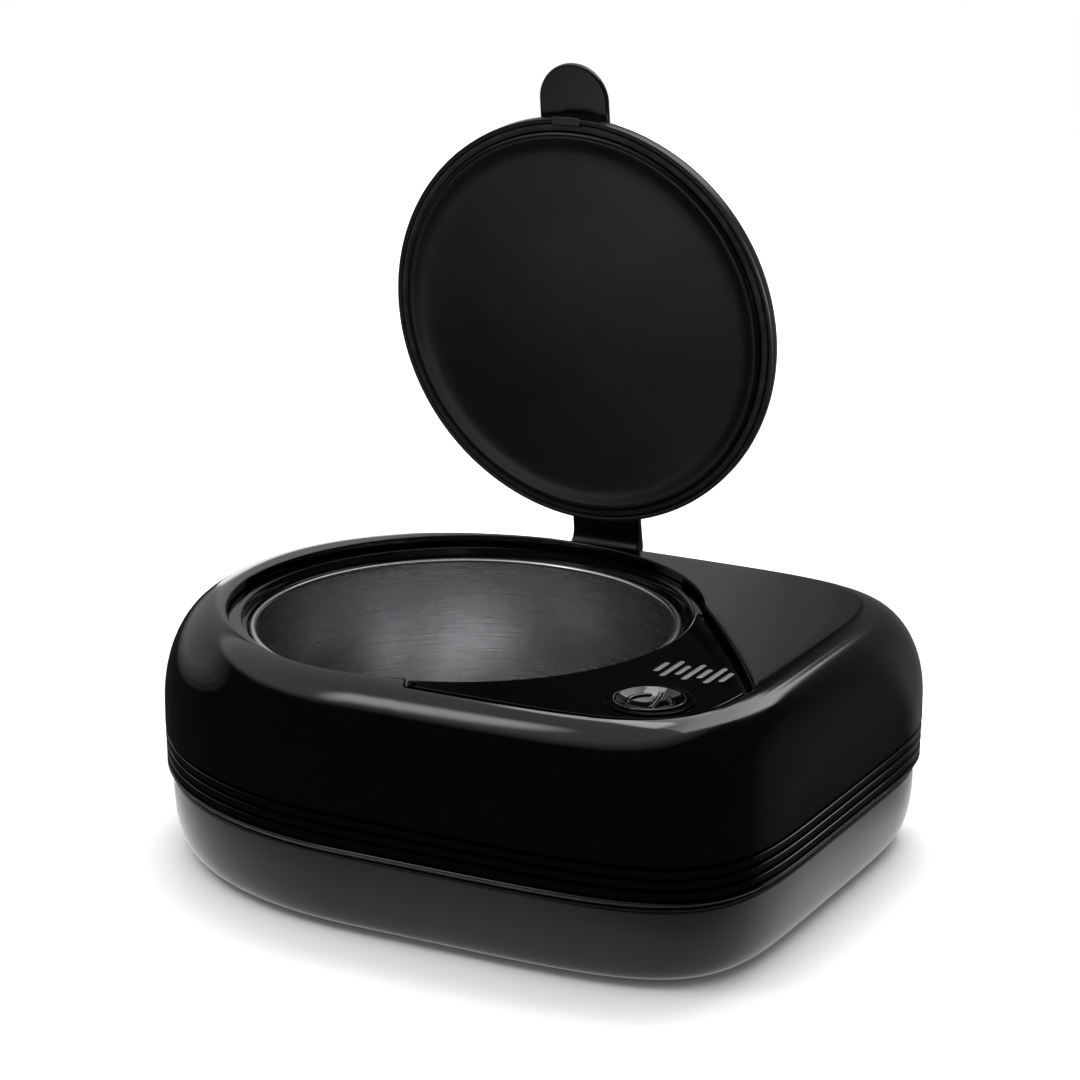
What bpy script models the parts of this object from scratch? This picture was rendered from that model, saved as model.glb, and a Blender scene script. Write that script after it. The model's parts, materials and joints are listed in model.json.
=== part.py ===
"""Small ultrasonic cleaner with a round steel tank and a hinged lid, as separate solids.

Metres, +Z up. The origin is on the table under the middle of the body, +X is to the
right of the user and the control corner faces -Y. The hinge runs along X at the back,
and the lid stands open. The lid is drawn shut, round the hinge axis, and then turned.
"""
import math

import bmesh
import bpy
from mathutils import Matrix, Vector

MM = 0.001
GAP = 0.3 * MM                      # clearance between pieces that rest on each other

# Footprint of the body: four superellipse quarters that meet at OFFSET
HALF_WIDTH = 70.0 * MM
HALF_DEPTH = 56.2 * MM
OFFSET = Vector((-5.6 * MM, 2.2 * MM))
SQUARENESS_RIGHT = 5.5              # tight corners on the control side
SQUARENESS_LEFT = 2.15              # nearly round on the tank side

# Heights of the body
FOOT_HEIGHT = 1.0 * MM
SEAM_Z = 15.6 * MM                  # top edge of the lower housing
GROOVES_TOP_Z = 24.6 * MM
TOP_Z = 48.4 * MM
EDGE_RUN = 11.0 * MM                # how far in the rounded top edge reaches
EDGE_DROP = 18.6 * MM               # and how far down

# Recess for the bezel: a circle round the tank and a leaf for the controls
TANK_X, TANK_Y = -10.5 * MM, -0.8 * MM
RECESS_R = 45.8 * MM
LEAF_INSET_FRONT = 8.3 * MM
LEAF_INSET_RIGHT = 10.1 * MM
LEAF_TIP_ANGLE = math.radians(-73.9)
LEAF_CORNER = Vector((59.7 * MM, -21.1 * MM))
LEAF_ROOT = Vector((30.8 * MM, 19.1 * MM))
LEAF_BOW = 0.8 * MM
LEDGE_WIDTH = 1.5 * MM
LEDGE_Z = 45.7 * MM
CEILING_Z = 44.3 * MM

# Bezel and tank
BEZEL_Z = 47.5 * MM
BEZEL_UNDER_Z = 46.0 * MM
RING_Z = 46.6 * MM                  # the ring round the tank lies lower than the leaf
SEAT_Z = 44.9 * MM
BATH_R = 40.1 * MM
BATH_FLOOR_Z = 13.4 * MM
TANK_SHEET = 0.7 * MM

# Controls
BUTTON_X, BUTTON_Y = 45.2 * MM, -33.6 * MM
BUTTON_R = 6.6 * MM
BARS = 7
BAR_WIDTH = 1.1 * MM
BAR_PITCH = 2.17 * MM
BAR_LENGTHS = (5.6 * MM, 9.4 * MM)
BARS_X, BARS_Y = 45.0 * MM, -15.2 * MM
BOARD_TOP_Z = 39.0 * MM

# Lid and hinge
HINGE_Y, HINGE_Z = 49.7 * MM, 43.15 * MM
LID_OPEN = math.radians(-83.7)
NECK_X = TANK_X + 1.9 * MM
NECK_WIDTH = 15.2 * MM
KNUCKLE_R = 3.4 * MM
PIN_R = 1.0 * MM
SLOT_CLEARANCE = 0.4 * MM
HINGE_BOSS = 3.9 * MM
TAB_X = TANK_X - 0.8 * MM
TAB_WIDTH = 15.0 * MM
TAB_REACH = 52.4 * MM

# Fixings
HOUSING_SCREWS = ((61, -30), (61, 30), (-46, -34), (-46, 34))
FEET = ((50, -38), (50, 38), (-40, -24), (-40, 24))
MAIN_BOARD_LO = Vector((33.0, -36.0, 7.0)) * MM
MAIN_BOARD_HI = Vector((56.0, 36.0, 8.6)) * MM
BOARD_SCREW_INSET = 2.5 * MM
CONTROL_SCREWS = ((36.8, -26.0), (55.3, -24.5))
JACK_X, JACK_Z = 38.0 * MM, 10.4 * MM
JACK_END_Y = 50.2 * MM

RINGS = 56                          # points round a housing
TURN_STEPS = 48                     # facets round the tank, the bezel and the lid


# ---------------------------------------------------------------- scene and materials

for old in list(bpy.data.objects):
    bpy.data.objects.remove(old, do_unlink=True)


def new_collection(name):
    collection = bpy.data.collections.new(name)
    bpy.context.scene.collection.children.link(collection)
    return collection


PARTS = new_collection("ultrasonic_cleaner")
CUTTERS = new_collection("cutters")


def material(name, colour, roughness, metallic=0.0):
    mat = bpy.data.materials.new(name)
    mat.use_nodes = True
    shader = mat.node_tree.nodes["Principled BSDF"]
    shader.inputs["Base Color"].default_value = (*colour, 1.0)
    shader.inputs["Roughness"].default_value = roughness
    shader.inputs["Metallic"].default_value = metallic
    mat.diffuse_color = (*colour, 1.0)
    return mat


GLOSS_BLACK = material("gloss_black", (0.012, 0.012, 0.013), 0.12)
SATIN_BLACK = material("satin_black", (0.016, 0.016, 0.017), 0.35)
SATIN_GREY = material("satin_grey", (0.030, 0.030, 0.032), 0.40)
STAINLESS = material("stainless", (0.62, 0.62, 0.63), 0.22, 1.0)
SILICONE = material("silicone", (0.02, 0.02, 0.02), 0.60)
RUBBER = material("rubber", (0.015, 0.015, 0.015), 0.80)
LIGHT_GUIDE = material("light_guide", (0.55, 0.56, 0.58), 0.30)
STEEL = material("steel", (0.50, 0.50, 0.52), 0.30, 1.0)
ALUMINIUM = material("aluminium", (0.66, 0.67, 0.69), 0.35, 1.0)
COPPER = material("copper", (0.62, 0.26, 0.12), 0.35, 1.0)
BOARD_GREEN = material("board_green", (0.02, 0.13, 0.05), 0.45)
PIEZO = material("piezo_ceramic", (0.55, 0.53, 0.47), 0.55)
EPOXY = material("epoxy", (0.35, 0.27, 0.10), 0.40)
FERRITE = material("ferrite", (0.05, 0.05, 0.055), 0.60)
CAN_BLUE = material("capacitor_sleeve", (0.03, 0.05, 0.16), 0.35)
WIRE_RED = material("wire_red", (0.45, 0.02, 0.02), 0.45)
WIRE_BLACK = material("wire_black", (0.02, 0.02, 0.02), 0.45)
LABEL = material("label_silver", (0.45, 0.45, 0.46), 0.45, 0.6)


# ---------------------------------------------------------------- modelling helpers

def mesh_object(name, bm, mat=None, smooth=True):
    """Turn a bmesh into an object: a part when it has a material, else a cutter."""
    bmesh.ops.recalc_face_normals(bm, faces=bm.faces)
    mesh = bpy.data.meshes.new(name)
    bm.to_mesh(mesh)
    bm.free()
    obj = bpy.data.objects.new(name, mesh)
    register(obj, mat)
    if smooth:
        mesh.shade_smooth()
        mesh.set_sharp_from_angle(angle=math.radians(35))
    return obj


def register(obj, mat):
    if mat is None:
        obj.hide_render = True
        obj.display_type = "WIRE"
        CUTTERS.objects.link(obj)
    else:
        obj.data.materials.append(mat)
        PARTS.objects.link(obj)


def box(name, lo, hi, mat=None):
    """Box between two corners given in metres."""
    low, high = Vector(lo), Vector(hi)
    bm = bmesh.new()
    bmesh.ops.create_cube(bm, size=1.0)
    bmesh.ops.scale(bm, vec=high - low, verts=bm.verts)
    bmesh.ops.translate(bm, vec=(low + high) / 2, verts=bm.verts)
    return mesh_object(name, bm, mat, smooth=False)


def cylinder(name, base, radius, length, mat=None, axis="Z", segments=16):
    """Cylinder that starts at base and runs along +axis."""
    turn = {"X": Matrix.Rotation(math.pi / 2, 4, "Y"),
            "Y": Matrix.Rotation(-math.pi / 2, 4, "X"),
            "Z": Matrix.Identity(4)}[axis]
    bm = bmesh.new()
    bmesh.ops.create_cone(bm, cap_ends=True, segments=segments,
                          radius1=radius, radius2=radius, depth=length)
    bmesh.ops.translate(bm, vec=(0, 0, length / 2), verts=bm.verts)
    bmesh.ops.transform(bm, matrix=Matrix.Translation(base) @ turn, verts=bm.verts)
    return mesh_object(name, bm, mat)


def loft(name, rings, mat=None):
    """Closed solid through rings of equal length, capped at both ends."""
    bm = bmesh.new()
    rows = [[bm.verts.new(point) for point in ring] for ring in rings]
    count = len(rows[0])
    for low, high in zip(rows, rows[1:]):
        for i in range(count):
            j = (i + 1) % count
            bm.faces.new((low[i], low[j], high[j], high[i]))
    bm.faces.new(list(reversed(rows[0])))
    bm.faces.new(rows[-1])
    return mesh_object(name, bm, mat)


def prism(name, outline, z_low, z_high, mat=None):
    """Flat outline of (x, y) points, extruded between two heights."""
    return loft(name, [[(x, y, z) for x, y in outline] for z in (z_low, z_high)], mat)


def turned(name, profile, centre, mat=None, steps=TURN_STEPS, closed=False):
    """Turned piece: (radius, height) points in mm, running down the outer side."""
    mesh = bpy.data.meshes.new(name)
    edges = [(i, i + 1) for i in range(len(profile) - 1)]
    if closed:
        edges.append((len(profile) - 1, 0))
    mesh.from_pydata([(r * MM, 0.0, z * MM) for r, z in profile], edges, [])
    obj = bpy.data.objects.new(name, mesh)
    obj.location = centre
    register(obj, mat)
    screw = obj.modifiers.new("turn", "SCREW")
    screw.angle = 2 * math.pi
    screw.steps = screw.render_steps = steps
    screw.use_merge_vertices = True
    screw.merge_threshold = 0.00001
    screw.use_smooth_shade = True
    return obj


def wire(name, points, radius, mat):
    """Lead or cable through points in mm, rounded by a Catmull-Rom curve."""
    route = [Vector(p) * MM for p in points]
    route = [2 * route[0] - route[1], *route, 2 * route[-1] - route[-2]]
    smooth = []
    for a, b, c, d in zip(route, route[1:], route[2:], route[3:]):
        for k in range(2):
            t = k / 2
            smooth.append(0.5 * (2 * b + (c - a) * t + (2 * a - 5 * b + 4 * c - d) * t ** 2
                                 + (3 * b - a - 3 * c + d) * t ** 3))
    smooth.append(route[-2])
    curve = bpy.data.curves.new(name, "CURVE")
    curve.dimensions = "3D"
    curve.bevel_depth = radius
    curve.bevel_resolution = 2
    curve.use_fill_caps = True
    spline = curve.splines.new("POLY")
    spline.points.add(len(smooth) - 1)
    for knot, place in zip(spline.points, smooth):
        knot.co = (*place, 1.0)
    obj = bpy.data.objects.new(name, curve)
    register(obj, mat)
    return obj


def combine(obj, other, operation):
    modifier = obj.modifiers.new(operation.lower(), "BOOLEAN")
    modifier.operation = operation
    modifier.object = other
    return obj


def cut(obj, *cutters):
    for cutter in cutters:
        combine(obj, cutter, "DIFFERENCE")
    return obj


def join(obj, *others):
    for other in others:
        combine(obj, other, "UNION")
    return obj


# ---------------------------------------------------------------- outlines

def quarter(direction_x, direction_y, inset_x, inset_y):
    """Half axes and squareness of the footprint quarter that a direction points into."""
    reach_x = HALF_WIDTH - math.copysign(1, direction_x) * OFFSET.x - inset_x
    reach_y = HALF_DEPTH - math.copysign(1, direction_y) * OFFSET.y - inset_y
    power = SQUARENESS_RIGHT if direction_x >= 0 else SQUARENESS_LEFT
    return reach_x, reach_y, power


def footprint_point(angle, inset):
    """Point of the body's outline, inset by a distance, at an angle round OFFSET."""
    dx, dy = math.cos(angle), math.sin(angle)
    reach_x, reach_y, power = quarter(dx, dy, inset, inset)
    radius = (abs(dx / reach_x) ** power + abs(dy / reach_y) ** power) ** (-1 / power)
    return OFFSET.x + radius * dx, OFFSET.y + radius * dy


def footprint(inset, z):
    """Ring at a height; the points crowd together at the two tight corners."""
    ring = []
    for i in range(RINGS):
        angle = 2 * math.pi * (i + 0.5) / RINGS
        if math.cos(angle) > 0:
            angle += 0.14 * math.sin(4 * angle)
        ring.append((*footprint_point(angle, inset), z))
    return ring


def top_edge_height(inset):
    """Height of the upper housing's rounded top edge, a quarter ellipse."""
    across = max(0.0, 1 - inset / EDGE_RUN)
    return TOP_Z - EDGE_DROP + EDGE_DROP * math.sqrt(1 - across ** 2)


def leaf_reach(angle, grow):
    """Distance from the tank's axis to the edge of the control leaf, along an angle."""
    dx, dy = math.cos(angle), math.sin(angle)
    low, high = 0.0, 0.1
    for _ in range(40):
        middle = (low + high) / 2
        x = TANK_X + middle * dx - OFFSET.x
        y = TANK_Y + middle * dy - OFFSET.y
        reach_x, reach_y, power = quarter(x, y, LEAF_INSET_RIGHT - grow, LEAF_INSET_FRONT - grow)
        outside = abs(x / reach_x) ** power + abs(y / reach_y) ** power > 1
        low, high = (low, middle) if outside else (middle, high)
    chord = LEAF_ROOT - LEAF_CORNER
    radius = chord.length_squared / (8 * LEAF_BOW)
    inward = Vector((-chord.y, chord.x)).normalized()
    centre = (LEAF_ROOT + LEAF_CORNER) / 2 + inward * (radius - LEAF_BOW)
    start = Vector((TANK_X, TANK_Y)) - centre
    along = start.dot(Vector((dx, dy)))
    side = (radius + grow) ** 2 - start.length_squared + along ** 2
    return min(low, math.sqrt(side) - along)


def recess_outline(grow):
    """Outline of the bezel recess, grown by a distance: the tank circle and the leaf."""
    radius = RECESS_R + grow
    tip = LEAF_TIP_ANGLE - grow / radius
    corner = math.atan2(LEAF_CORNER.y - TANK_Y, LEAF_CORNER.x - TANK_X)
    angles = [tip + (corner - tip) * i / 20 for i in range(20)]
    root = corner
    while leaf_reach(root, grow) > radius:
        root += math.radians(0.25)
    angles += [corner + (root - corner) * i / 6 for i in range(6)]
    outline = [(a, max(radius, leaf_reach(a, grow))) for a in angles]
    arc = 2 * math.pi + tip - root
    outline += [(root + arc * i / 50, radius) for i in range(51)]
    return [(TANK_X + r * math.cos(a), TANK_Y + r * math.sin(a)) for a, r in outline]


def ring_outline(inner, outer):
    """C-shaped outline that runs round the tank, outside the control leaf."""
    root = math.atan2(LEAF_ROOT.y - TANK_Y, LEAF_ROOT.x - TANK_X) + math.radians(1)
    end = 2 * math.pi + LEAF_TIP_ANGLE - math.radians(1)
    angles = [root + (end - root) * i / 36 for i in range(37)]
    path = [(a, outer) for a in angles] + [(a, inner) for a in reversed(angles)]
    return [(TANK_X + r * math.cos(a), TANK_Y + r * math.sin(a)) for a, r in path]


# ---------------------------------------------------------------- housings

def upper_housing():
    """Gloss shell: flat top, rounded edge, four grooves and a chamfer down to the seam."""
    rings = [footprint(1.5 * MM, SEAM_Z + GAP), footprint(0.2 * MM, 17.7 * MM)]
    groove, rib = 0.8 * MM, 1.25 * MM
    z = GROOVES_TOP_Z - 4 * groove - 3 * rib
    for index in range(4):
        proud = 0.15 * MM * (3 - index) / 3
        rings += [footprint(proud, z), footprint(0.8 * MM, z + groove / 2),
                  footprint(proud * 0.7, z + groove)]
        z += groove + rib
    rings.append(footprint(0.0, TOP_Z - EDGE_DROP))
    for step in range(1, 7):
        inset = EDGE_RUN * (1 - math.cos(math.pi / 2 * step / 6))
        rings.append(footprint(inset, top_edge_height(inset)))
    body = loft("upper_housing", rings, GLOSS_BLACK)

    inner = ((2.7, 10.0), (2.4, 30.0), (3.1, 36.0), (5.2, 41.0), (11.0, CEILING_Z / MM))
    cavity = loft("cut_cavity", [footprint(i * MM, z * MM) for i, z in inner])
    half = NECK_WIDTH / 2 + SLOT_CLEARANCE
    cut(cavity, box("keep_hinge_block", (NECK_X - half - HINGE_BOSS, 44.9 * MM, 36.3 * MM),
                    (NECK_X + half + HINGE_BOSS, 60 * MM, 60 * MM)))
    for index, (x, y) in enumerate(HOUSING_SCREWS):
        cut(cavity, cylinder(f"keep_post_{index}", (x * MM, y * MM, SEAM_Z + 9 * MM), 3.3 * MM, 40 * MM))
    cut(body, cavity,
        prism("cut_recess", recess_outline(0.0), LEDGE_Z, 60 * MM),
        prism("cut_ledge", recess_outline(-LEDGE_WIDTH), 41 * MM, 59 * MM),
        box("cut_slot", (NECK_X - half, 45.9 * MM, 38.9 * MM), (NECK_X + half, 61 * MM, 61 * MM)),
        cylinder("cut_pin_bore", (NECK_X - half - 2.4 * MM, HINGE_Y, HINGE_Z), PIN_R + GAP,
                 NECK_WIDTH + 9 * MM, axis="X"))
    for index, (x, y) in enumerate(HOUSING_SCREWS):
        cut(body, cylinder(f"cut_post_bore_{index}", (x * MM, y * MM, 20 * MM), 1.6 * MM, 16 * MM,
                           segments=12))
    return body


def lower_housing():
    """Satin tray: sides that curve in, screw bosses, board standoffs, jack hole."""
    depth = SEAM_Z - FOOT_HEIGHT
    rings = []
    for step in range(7):
        angle = math.pi / 2 * step / 6
        inset = 1.2 * MM + 5.0 * MM * (1 - math.cos(angle) ** 0.77)
        rings.append(footprint(inset, SEAM_Z - depth * math.sin(angle) ** 0.77))
    body = loft("lower_housing", rings[::-1], SATIN_GREY)

    inner = ((7.8, 3.0), (4.4, 6.0), (3.2, 20.0))
    cavity = loft("cut_tray", [footprint(i * MM, z * MM) for i, z in inner])
    for index, (x, y) in enumerate(HOUSING_SCREWS):
        cut(cavity, cylinder(f"keep_boss_{index}", (x * MM, y * MM, 1 * MM), 3.3 * MM, 14.4 * MM))
    for index, (x, y) in enumerate(board_corners()):
        cut(cavity, cylinder(f"keep_standoff_{index}", (x, y, 1.5 * MM), 2.3 * MM, 5.2 * MM))
    cut(body, cavity)
    for index, (x, y) in enumerate(HOUSING_SCREWS):
        join(body, cylinder(f"add_boss_{index}", (x * MM, y * MM, 14 * MM), 3.3 * MM, 10.3 * MM))
    for index, (x, y) in enumerate(HOUSING_SCREWS):
        cut(body,
            cylinder(f"cut_screw_{index}", (x * MM, y * MM, 0), 1.7 * MM, 30 * MM, segments=12),
            cylinder(f"cut_counterbore_{index}", (x * MM, y * MM, 0), 2.6 * MM, 17 * MM))
    for index, (x, y) in enumerate(FEET):
        cut(body, cylinder(f"cut_foot_{index}", (x * MM, y * MM, 0), 5.3 * MM, 1.9 * MM))
    for index, (x, y) in enumerate(board_corners()):
        cut(body, cylinder(f"cut_standoff_{index}", (x, y, 3.2 * MM), 1.1 * MM, 5 * MM, segments=12))
    return cut(body,
               box("cut_plate", (-20.4 * MM, -12.4 * MM, 0), (20.4 * MM, 12.4 * MM, 1.9 * MM)),
               cylinder("cut_jack", (JACK_X, 45 * MM, JACK_Z), 3.6 * MM, 20 * MM, axis="Y"))


def feet():
    profile = [(0, 1.6), (4.9, 1.6), (5.0, 0.5), (4.5, 0), (0, 0)]
    for index, (x, y) in enumerate(FEET):
        turned(f"foot_{index + 1}", profile, (x * MM, y * MM, 0), RUBBER, steps=16)


def screws():
    """Pan head screws: the long ones close the housing, the short ones hold the boards."""
    long_one = [(0, 33), (1.25, 32), (1.25, 16.7), (2.3, 16.7), (2.3, 15.6), (1.7, 15.1), (0, 15.1)]
    for index, (x, y) in enumerate(HOUSING_SCREWS):
        turned(f"housing_screw_{index + 1}", long_one, (x * MM, y * MM, 0), STEEL, steps=10)
    down = [(0, 10.4), (1.2, 10.2), (1.9, 9.5), (1.9, 8.9), (0.8, 8.9), (0.8, 4.0), (0, 3.6)]
    for index, (x, y) in enumerate(board_corners()):
        turned(f"board_screw_{index + 1}", down, (x, y, 0), STEEL, steps=8)
    up = [(0, 43.4), (0.8, 43.0), (0.8, 37.1), (1.9, 37.1), (1.9, 36.5), (1.2, 35.9), (0, 35.7)]
    for index, (x, y) in enumerate(CONTROL_SCREWS):
        turned(f"control_screw_{index + 1}", up, (x * MM, y * MM, 0), STEEL, steps=8)


# ---------------------------------------------------------------- bezel, tank, controls

def bar_places():
    """Centre x and length of each light bar: short and long in turn."""
    for index in range(BARS):
        yield BARS_X + (index - (BARS - 1) / 2) * BAR_PITCH, BAR_LENGTHS[index % 2]


def control_bezel():
    """Sunken leaf and stepped ring round the tank, with posts for the control board."""
    plate = prism("control_bezel", recess_outline(-0.25 * MM), BEZEL_UNDER_Z, BEZEL_Z, GLOSS_BLACK)
    cut(plate, cylinder("cut_tank_mouth", (TANK_X, TANK_Y, 40 * MM), 43.5 * MM, 20 * MM,
                        segments=TURN_STEPS))
    ring = [(43.9, 46.8), (43.9, 44.2), (41.95, 44.2), (41.95, SEAT_Z / MM),
            (42.9, SEAT_Z / MM), (42.9, 46.8)]
    join(plate, turned("add_skirt", ring, (TANK_X, TANK_Y, 0), closed=True))
    cut(plate, prism("cut_ring_top", ring_outline(42.0 * MM, 47.0 * MM), RING_Z, 52 * MM))
    for index, (x, y) in enumerate(CONTROL_SCREWS):
        post = cylinder(f"add_control_post_{index}", (x * MM, y * MM, BOARD_TOP_Z + GAP), 1.9 * MM,
                        7.3 * MM)
        bore = cylinder(f"cut_control_post_{index}", (x * MM, y * MM, 38 * MM), 1.1 * MM, 6 * MM,
                        segments=12)
        cut(join(plate, post), bore)
    cut(plate, cylinder("cut_button_hole", (BUTTON_X, BUTTON_Y, 40 * MM), 7.75 * MM, 20 * MM,
                        segments=28))
    clearance = 0.15 * MM
    for index, (x, length) in enumerate(bar_places()):
        half_x, half_y = BAR_WIDTH / 2 + clearance, length / 2 + clearance
        cut(plate, box(f"cut_bar_{index}", (x - half_x, BARS_Y - half_y, 40 * MM),
                       (x + half_x, BARS_Y + half_y, 50 * MM)))
    return plate


def bead(centre_r, centre_z, radius, steps):
    """Half circle over the tank's rolled lip, from its inner to its outer side."""
    return [(centre_r - radius * math.cos(math.pi * i / steps),
             centre_z + radius * math.sin(math.pi * i / steps)) for i in range(steps + 1)]


def tank():
    """Drawn stainless bath: flat floor, rounded corner, slight draft, rolled lip, flange."""
    floor, wall = BATH_FLOOR_Z / MM, BATH_R / MM
    sheet = TANK_SHEET / MM
    inside = [(0, floor), (33.5, floor), (37.0, floor + 1.4), (38.6, floor + 4.6), (wall, 42.6)]
    lip = bead(40.9, 44.2, 0.75, 4)
    flange = [(41.65, 43.0), (44.6, 43.0), (44.6, 42.3), (wall + sheet, 42.0)]
    outside = [(38.6 + sheet, floor + 4.4), (37.5, floor + 0.9), (33.6, floor - sheet), (0, floor - sheet)]
    turned("tank", inside + lip + flange + outside, (TANK_X, TANK_Y, 0), STAINLESS)
    seal = [(44.4, 43.9), (44.4, 43.3), (42.1, 43.3), (42.1, 43.9)]
    turned("tank_gasket", seal, (TANK_X, TANK_Y, 0), SILICONE, closed=True, steps=36)


def transducer():
    """Piezo disc bonded under the tank's floor, with its two leads."""
    turned("epoxy_bond", [(0, 12.4), (22.0, 12.4), (22.6, 12.0), (0, 12.0)],
           (TANK_X, TANK_Y, 0), EPOXY, steps=28)
    turned("piezo_disc", [(0, 11.7), (22.4, 11.7), (22.5, 11.5), (22.5, 9.4), (22.3, 9.2), (0, 9.2)],
           (TANK_X, TANK_Y, 0), PIEZO, steps=28)
    for name, y, mat in (("piezo_lead_red", -1.0, WIRE_RED), ("piezo_lead_black", 3.0, WIRE_BLACK)):
        wire(name, [(2, y, 8.4), (4, y, 6.6), (12, y - 1, 5.6), (24, y - 2, 5.8), (30.0, y - 2, 8.6),
                    (33.0, y - 2, 10.9), (34.8, y - 2, 9.9), (35.0, y - 2, 9.0)], 0.55 * MM, mat)


def power_button():
    """Dished cap with a retaining flange and a stem, inside its ring."""
    place = (BUTTON_X, BUTTON_Y, 0)
    rim = BUTTON_R / MM
    cap = [(0, 47.35), (3.0, 47.45), (5.2, 47.85), (rim - 0.5, 48.25), (rim - 0.15, 48.25), (rim, 48.05),
           (rim, 45.4), (7.3, 45.4), (7.3, 44.7), (2.0, 44.7), (2.0, 44.4), (0, 44.4)]
    turned("power_button", cap, place, GLOSS_BLACK, steps=28)
    ring = [(8.0, 48.05), (8.0, 47.8), (7.45, 47.8), (7.45, 45.9), (6.95, 45.9), (6.95, 48.1),
            (7.2, 48.3), (7.7, 48.3)]
    turned("button_ring", ring, place, GLOSS_BLACK, steps=28, closed=True)
    turned("switch_plunger", [(0, 44.1), (1.4, 44.1), (1.6, 43.9), (1.6, 41.7), (0, 41.7)],
           place, SATIN_BLACK, steps=12)


def control_electronics():
    """Control board with the switch, the LEDs and the light guide over them."""
    board = box("control_board", (34.8 * MM, -42 * MM, BOARD_TOP_Z - 1.6 * MM),
                (57.2 * MM, -6.5 * MM, BOARD_TOP_Z), BOARD_GREEN)
    for index, (x, y) in enumerate(CONTROL_SCREWS):
        cut(board, cylinder(f"cut_control_hole_{index}", (x * MM, y * MM, 30 * MM), 1.3 * MM, 20 * MM,
                            segments=12))
    base = BOARD_TOP_Z + GAP
    switch = box("tact_switch", (BUTTON_X - 3 * MM, BUTTON_Y - 3 * MM, base),
                 (BUTTON_X + 3 * MM, BUTTON_Y + 3 * MM, base + 3.5 * MM), SATIN_BLACK)
    cut(switch, cylinder("cut_plunger", (BUTTON_X, BUTTON_Y, base + 1.5 * MM), 1.95 * MM, 4 * MM,
                         segments=20))
    for index, x in enumerate((40.0, 45.0, 50.0)):
        led = box(f"indicator_led_{index + 1}", ((x - 1.6) * MM, BARS_Y - 1.4 * MM, base),
                  ((x + 1.6) * MM, BARS_Y + 1.4 * MM, base + 1.1 * MM), LIGHT_GUIDE)
        join(led, cylinder(f"add_led_dome_{index}", (x * MM, BARS_Y, base + 0.8 * MM), 1.1 * MM,
                           0.9 * MM))
    outline = [(37.2, -20.9), (52.6, -20.9), (52.6, -13.5), (50.0, -9.6), (37.2, -9.6)]
    guide = prism("indicator_lens", [(x * MM, y * MM) for x, y in outline], 44.7 * MM, 45.7 * MM,
                  LIGHT_GUIDE)
    for index, (x, length) in enumerate(bar_places()):
        join(guide, box(f"add_bar_{index}", (x - BAR_WIDTH / 2, BARS_Y - length / 2, 45.2 * MM),
                        (x + BAR_WIDTH / 2, BARS_Y + length / 2, BEZEL_Z - 0.05 * MM)))
    wire("board_cable", [(51, -38, 36.9), (51, -38, 33), (52, -37, 24), (51, -34, 16),
                         (50, -32, 11.5), (50, -32, 9.9)], 0.9 * MM, WIRE_BLACK)


# ---------------------------------------------------------------- main board

def board_corners():
    for x in (MAIN_BOARD_LO.x + BOARD_SCREW_INSET, MAIN_BOARD_HI.x - BOARD_SCREW_INSET):
        for y in (MAIN_BOARD_LO.y + BOARD_SCREW_INSET, MAIN_BOARD_HI.y - BOARD_SCREW_INSET):
            yield x, y


def main_board():
    """Generator board: transformer, inductor, transistor on its heatsink, capacitors."""
    board = box("main_board", MAIN_BOARD_LO, MAIN_BOARD_HI, BOARD_GREEN)
    for index, (x, y) in enumerate(board_corners()):
        cut(board, cylinder(f"cut_board_hole_{index}", (x, y, 5 * MM), 1.3 * MM, 6 * MM, segments=12))
    base = MAIN_BOARD_HI.z / MM + 0.3

    core = box("drive_transformer", (34.8 * MM, -22 * MM, base * MM), (54 * MM, -5 * MM, 25 * MM), FERRITE)
    for index, y in enumerate((-22.5, -8.5)):
        cut(core, box(f"cut_core_window_{index}", (38.5 * MM, y * MM, 12.5 * MM),
                      (50.3 * MM, (y + 4.0) * MM, 21.4 * MM)))
    turned("inductor", [(6.0, 13.4), (6.0, 9.8), (5.2, base), (3.2, base), (2.4, 9.8), (2.4, 13.4),
                        (3.2, 14.3), (5.2, 14.3)], (43.5 * MM, -28.7 * MM, 0), COPPER,
           steps=24, closed=True)
    sink = box("heatsink", (50.6 * MM, 4 * MM, base * MM), (52.2 * MM, 28 * MM, 30 * MM), ALUMINIUM)
    for index in range(6):
        y = (4 + index * 4.48) * MM
        join(sink, box(f"add_fin_{index}", (51.8 * MM, y, base * MM), (55.4 * MM, y + 1.6 * MM, 30 * MM)))
    transistor = box("power_transistor", (45.9 * MM, 11 * MM, 11.5 * MM),
                     (50.3 * MM, 21 * MM, 21 * MM), SATIN_BLACK)
    join(transistor, box("add_transistor_tab", (49 * MM, 11 * MM, 20 * MM),
                         (50.3 * MM, 21 * MM, 27 * MM)))
    for index in range(3):
        y = (13.2 + 2.4 * index) * MM
        join(transistor, box(f"add_transistor_leg_{index}", (48 * MM, y, base * MM),
                             (48.8 * MM, y + 0.8 * MM, 12 * MM)))
    for index, (y, radius, top) in enumerate(((12.0, 5.0, 28.0), (23.5, 4.0, 21.0))):
        can = [(0, top - 0.3), (radius - 0.8, top - 0.3), (radius - 0.5, top), (radius - 0.1, top - 0.3),
               (radius, base + 1.6), (radius - 0.3, base + 1.2), (radius - 0.1, base), (0, base)]
        turned(f"capacitor_{index + 1}", can, (39.8 * MM, y * MM, 0), CAN_BLUE, steps=20)


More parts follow.
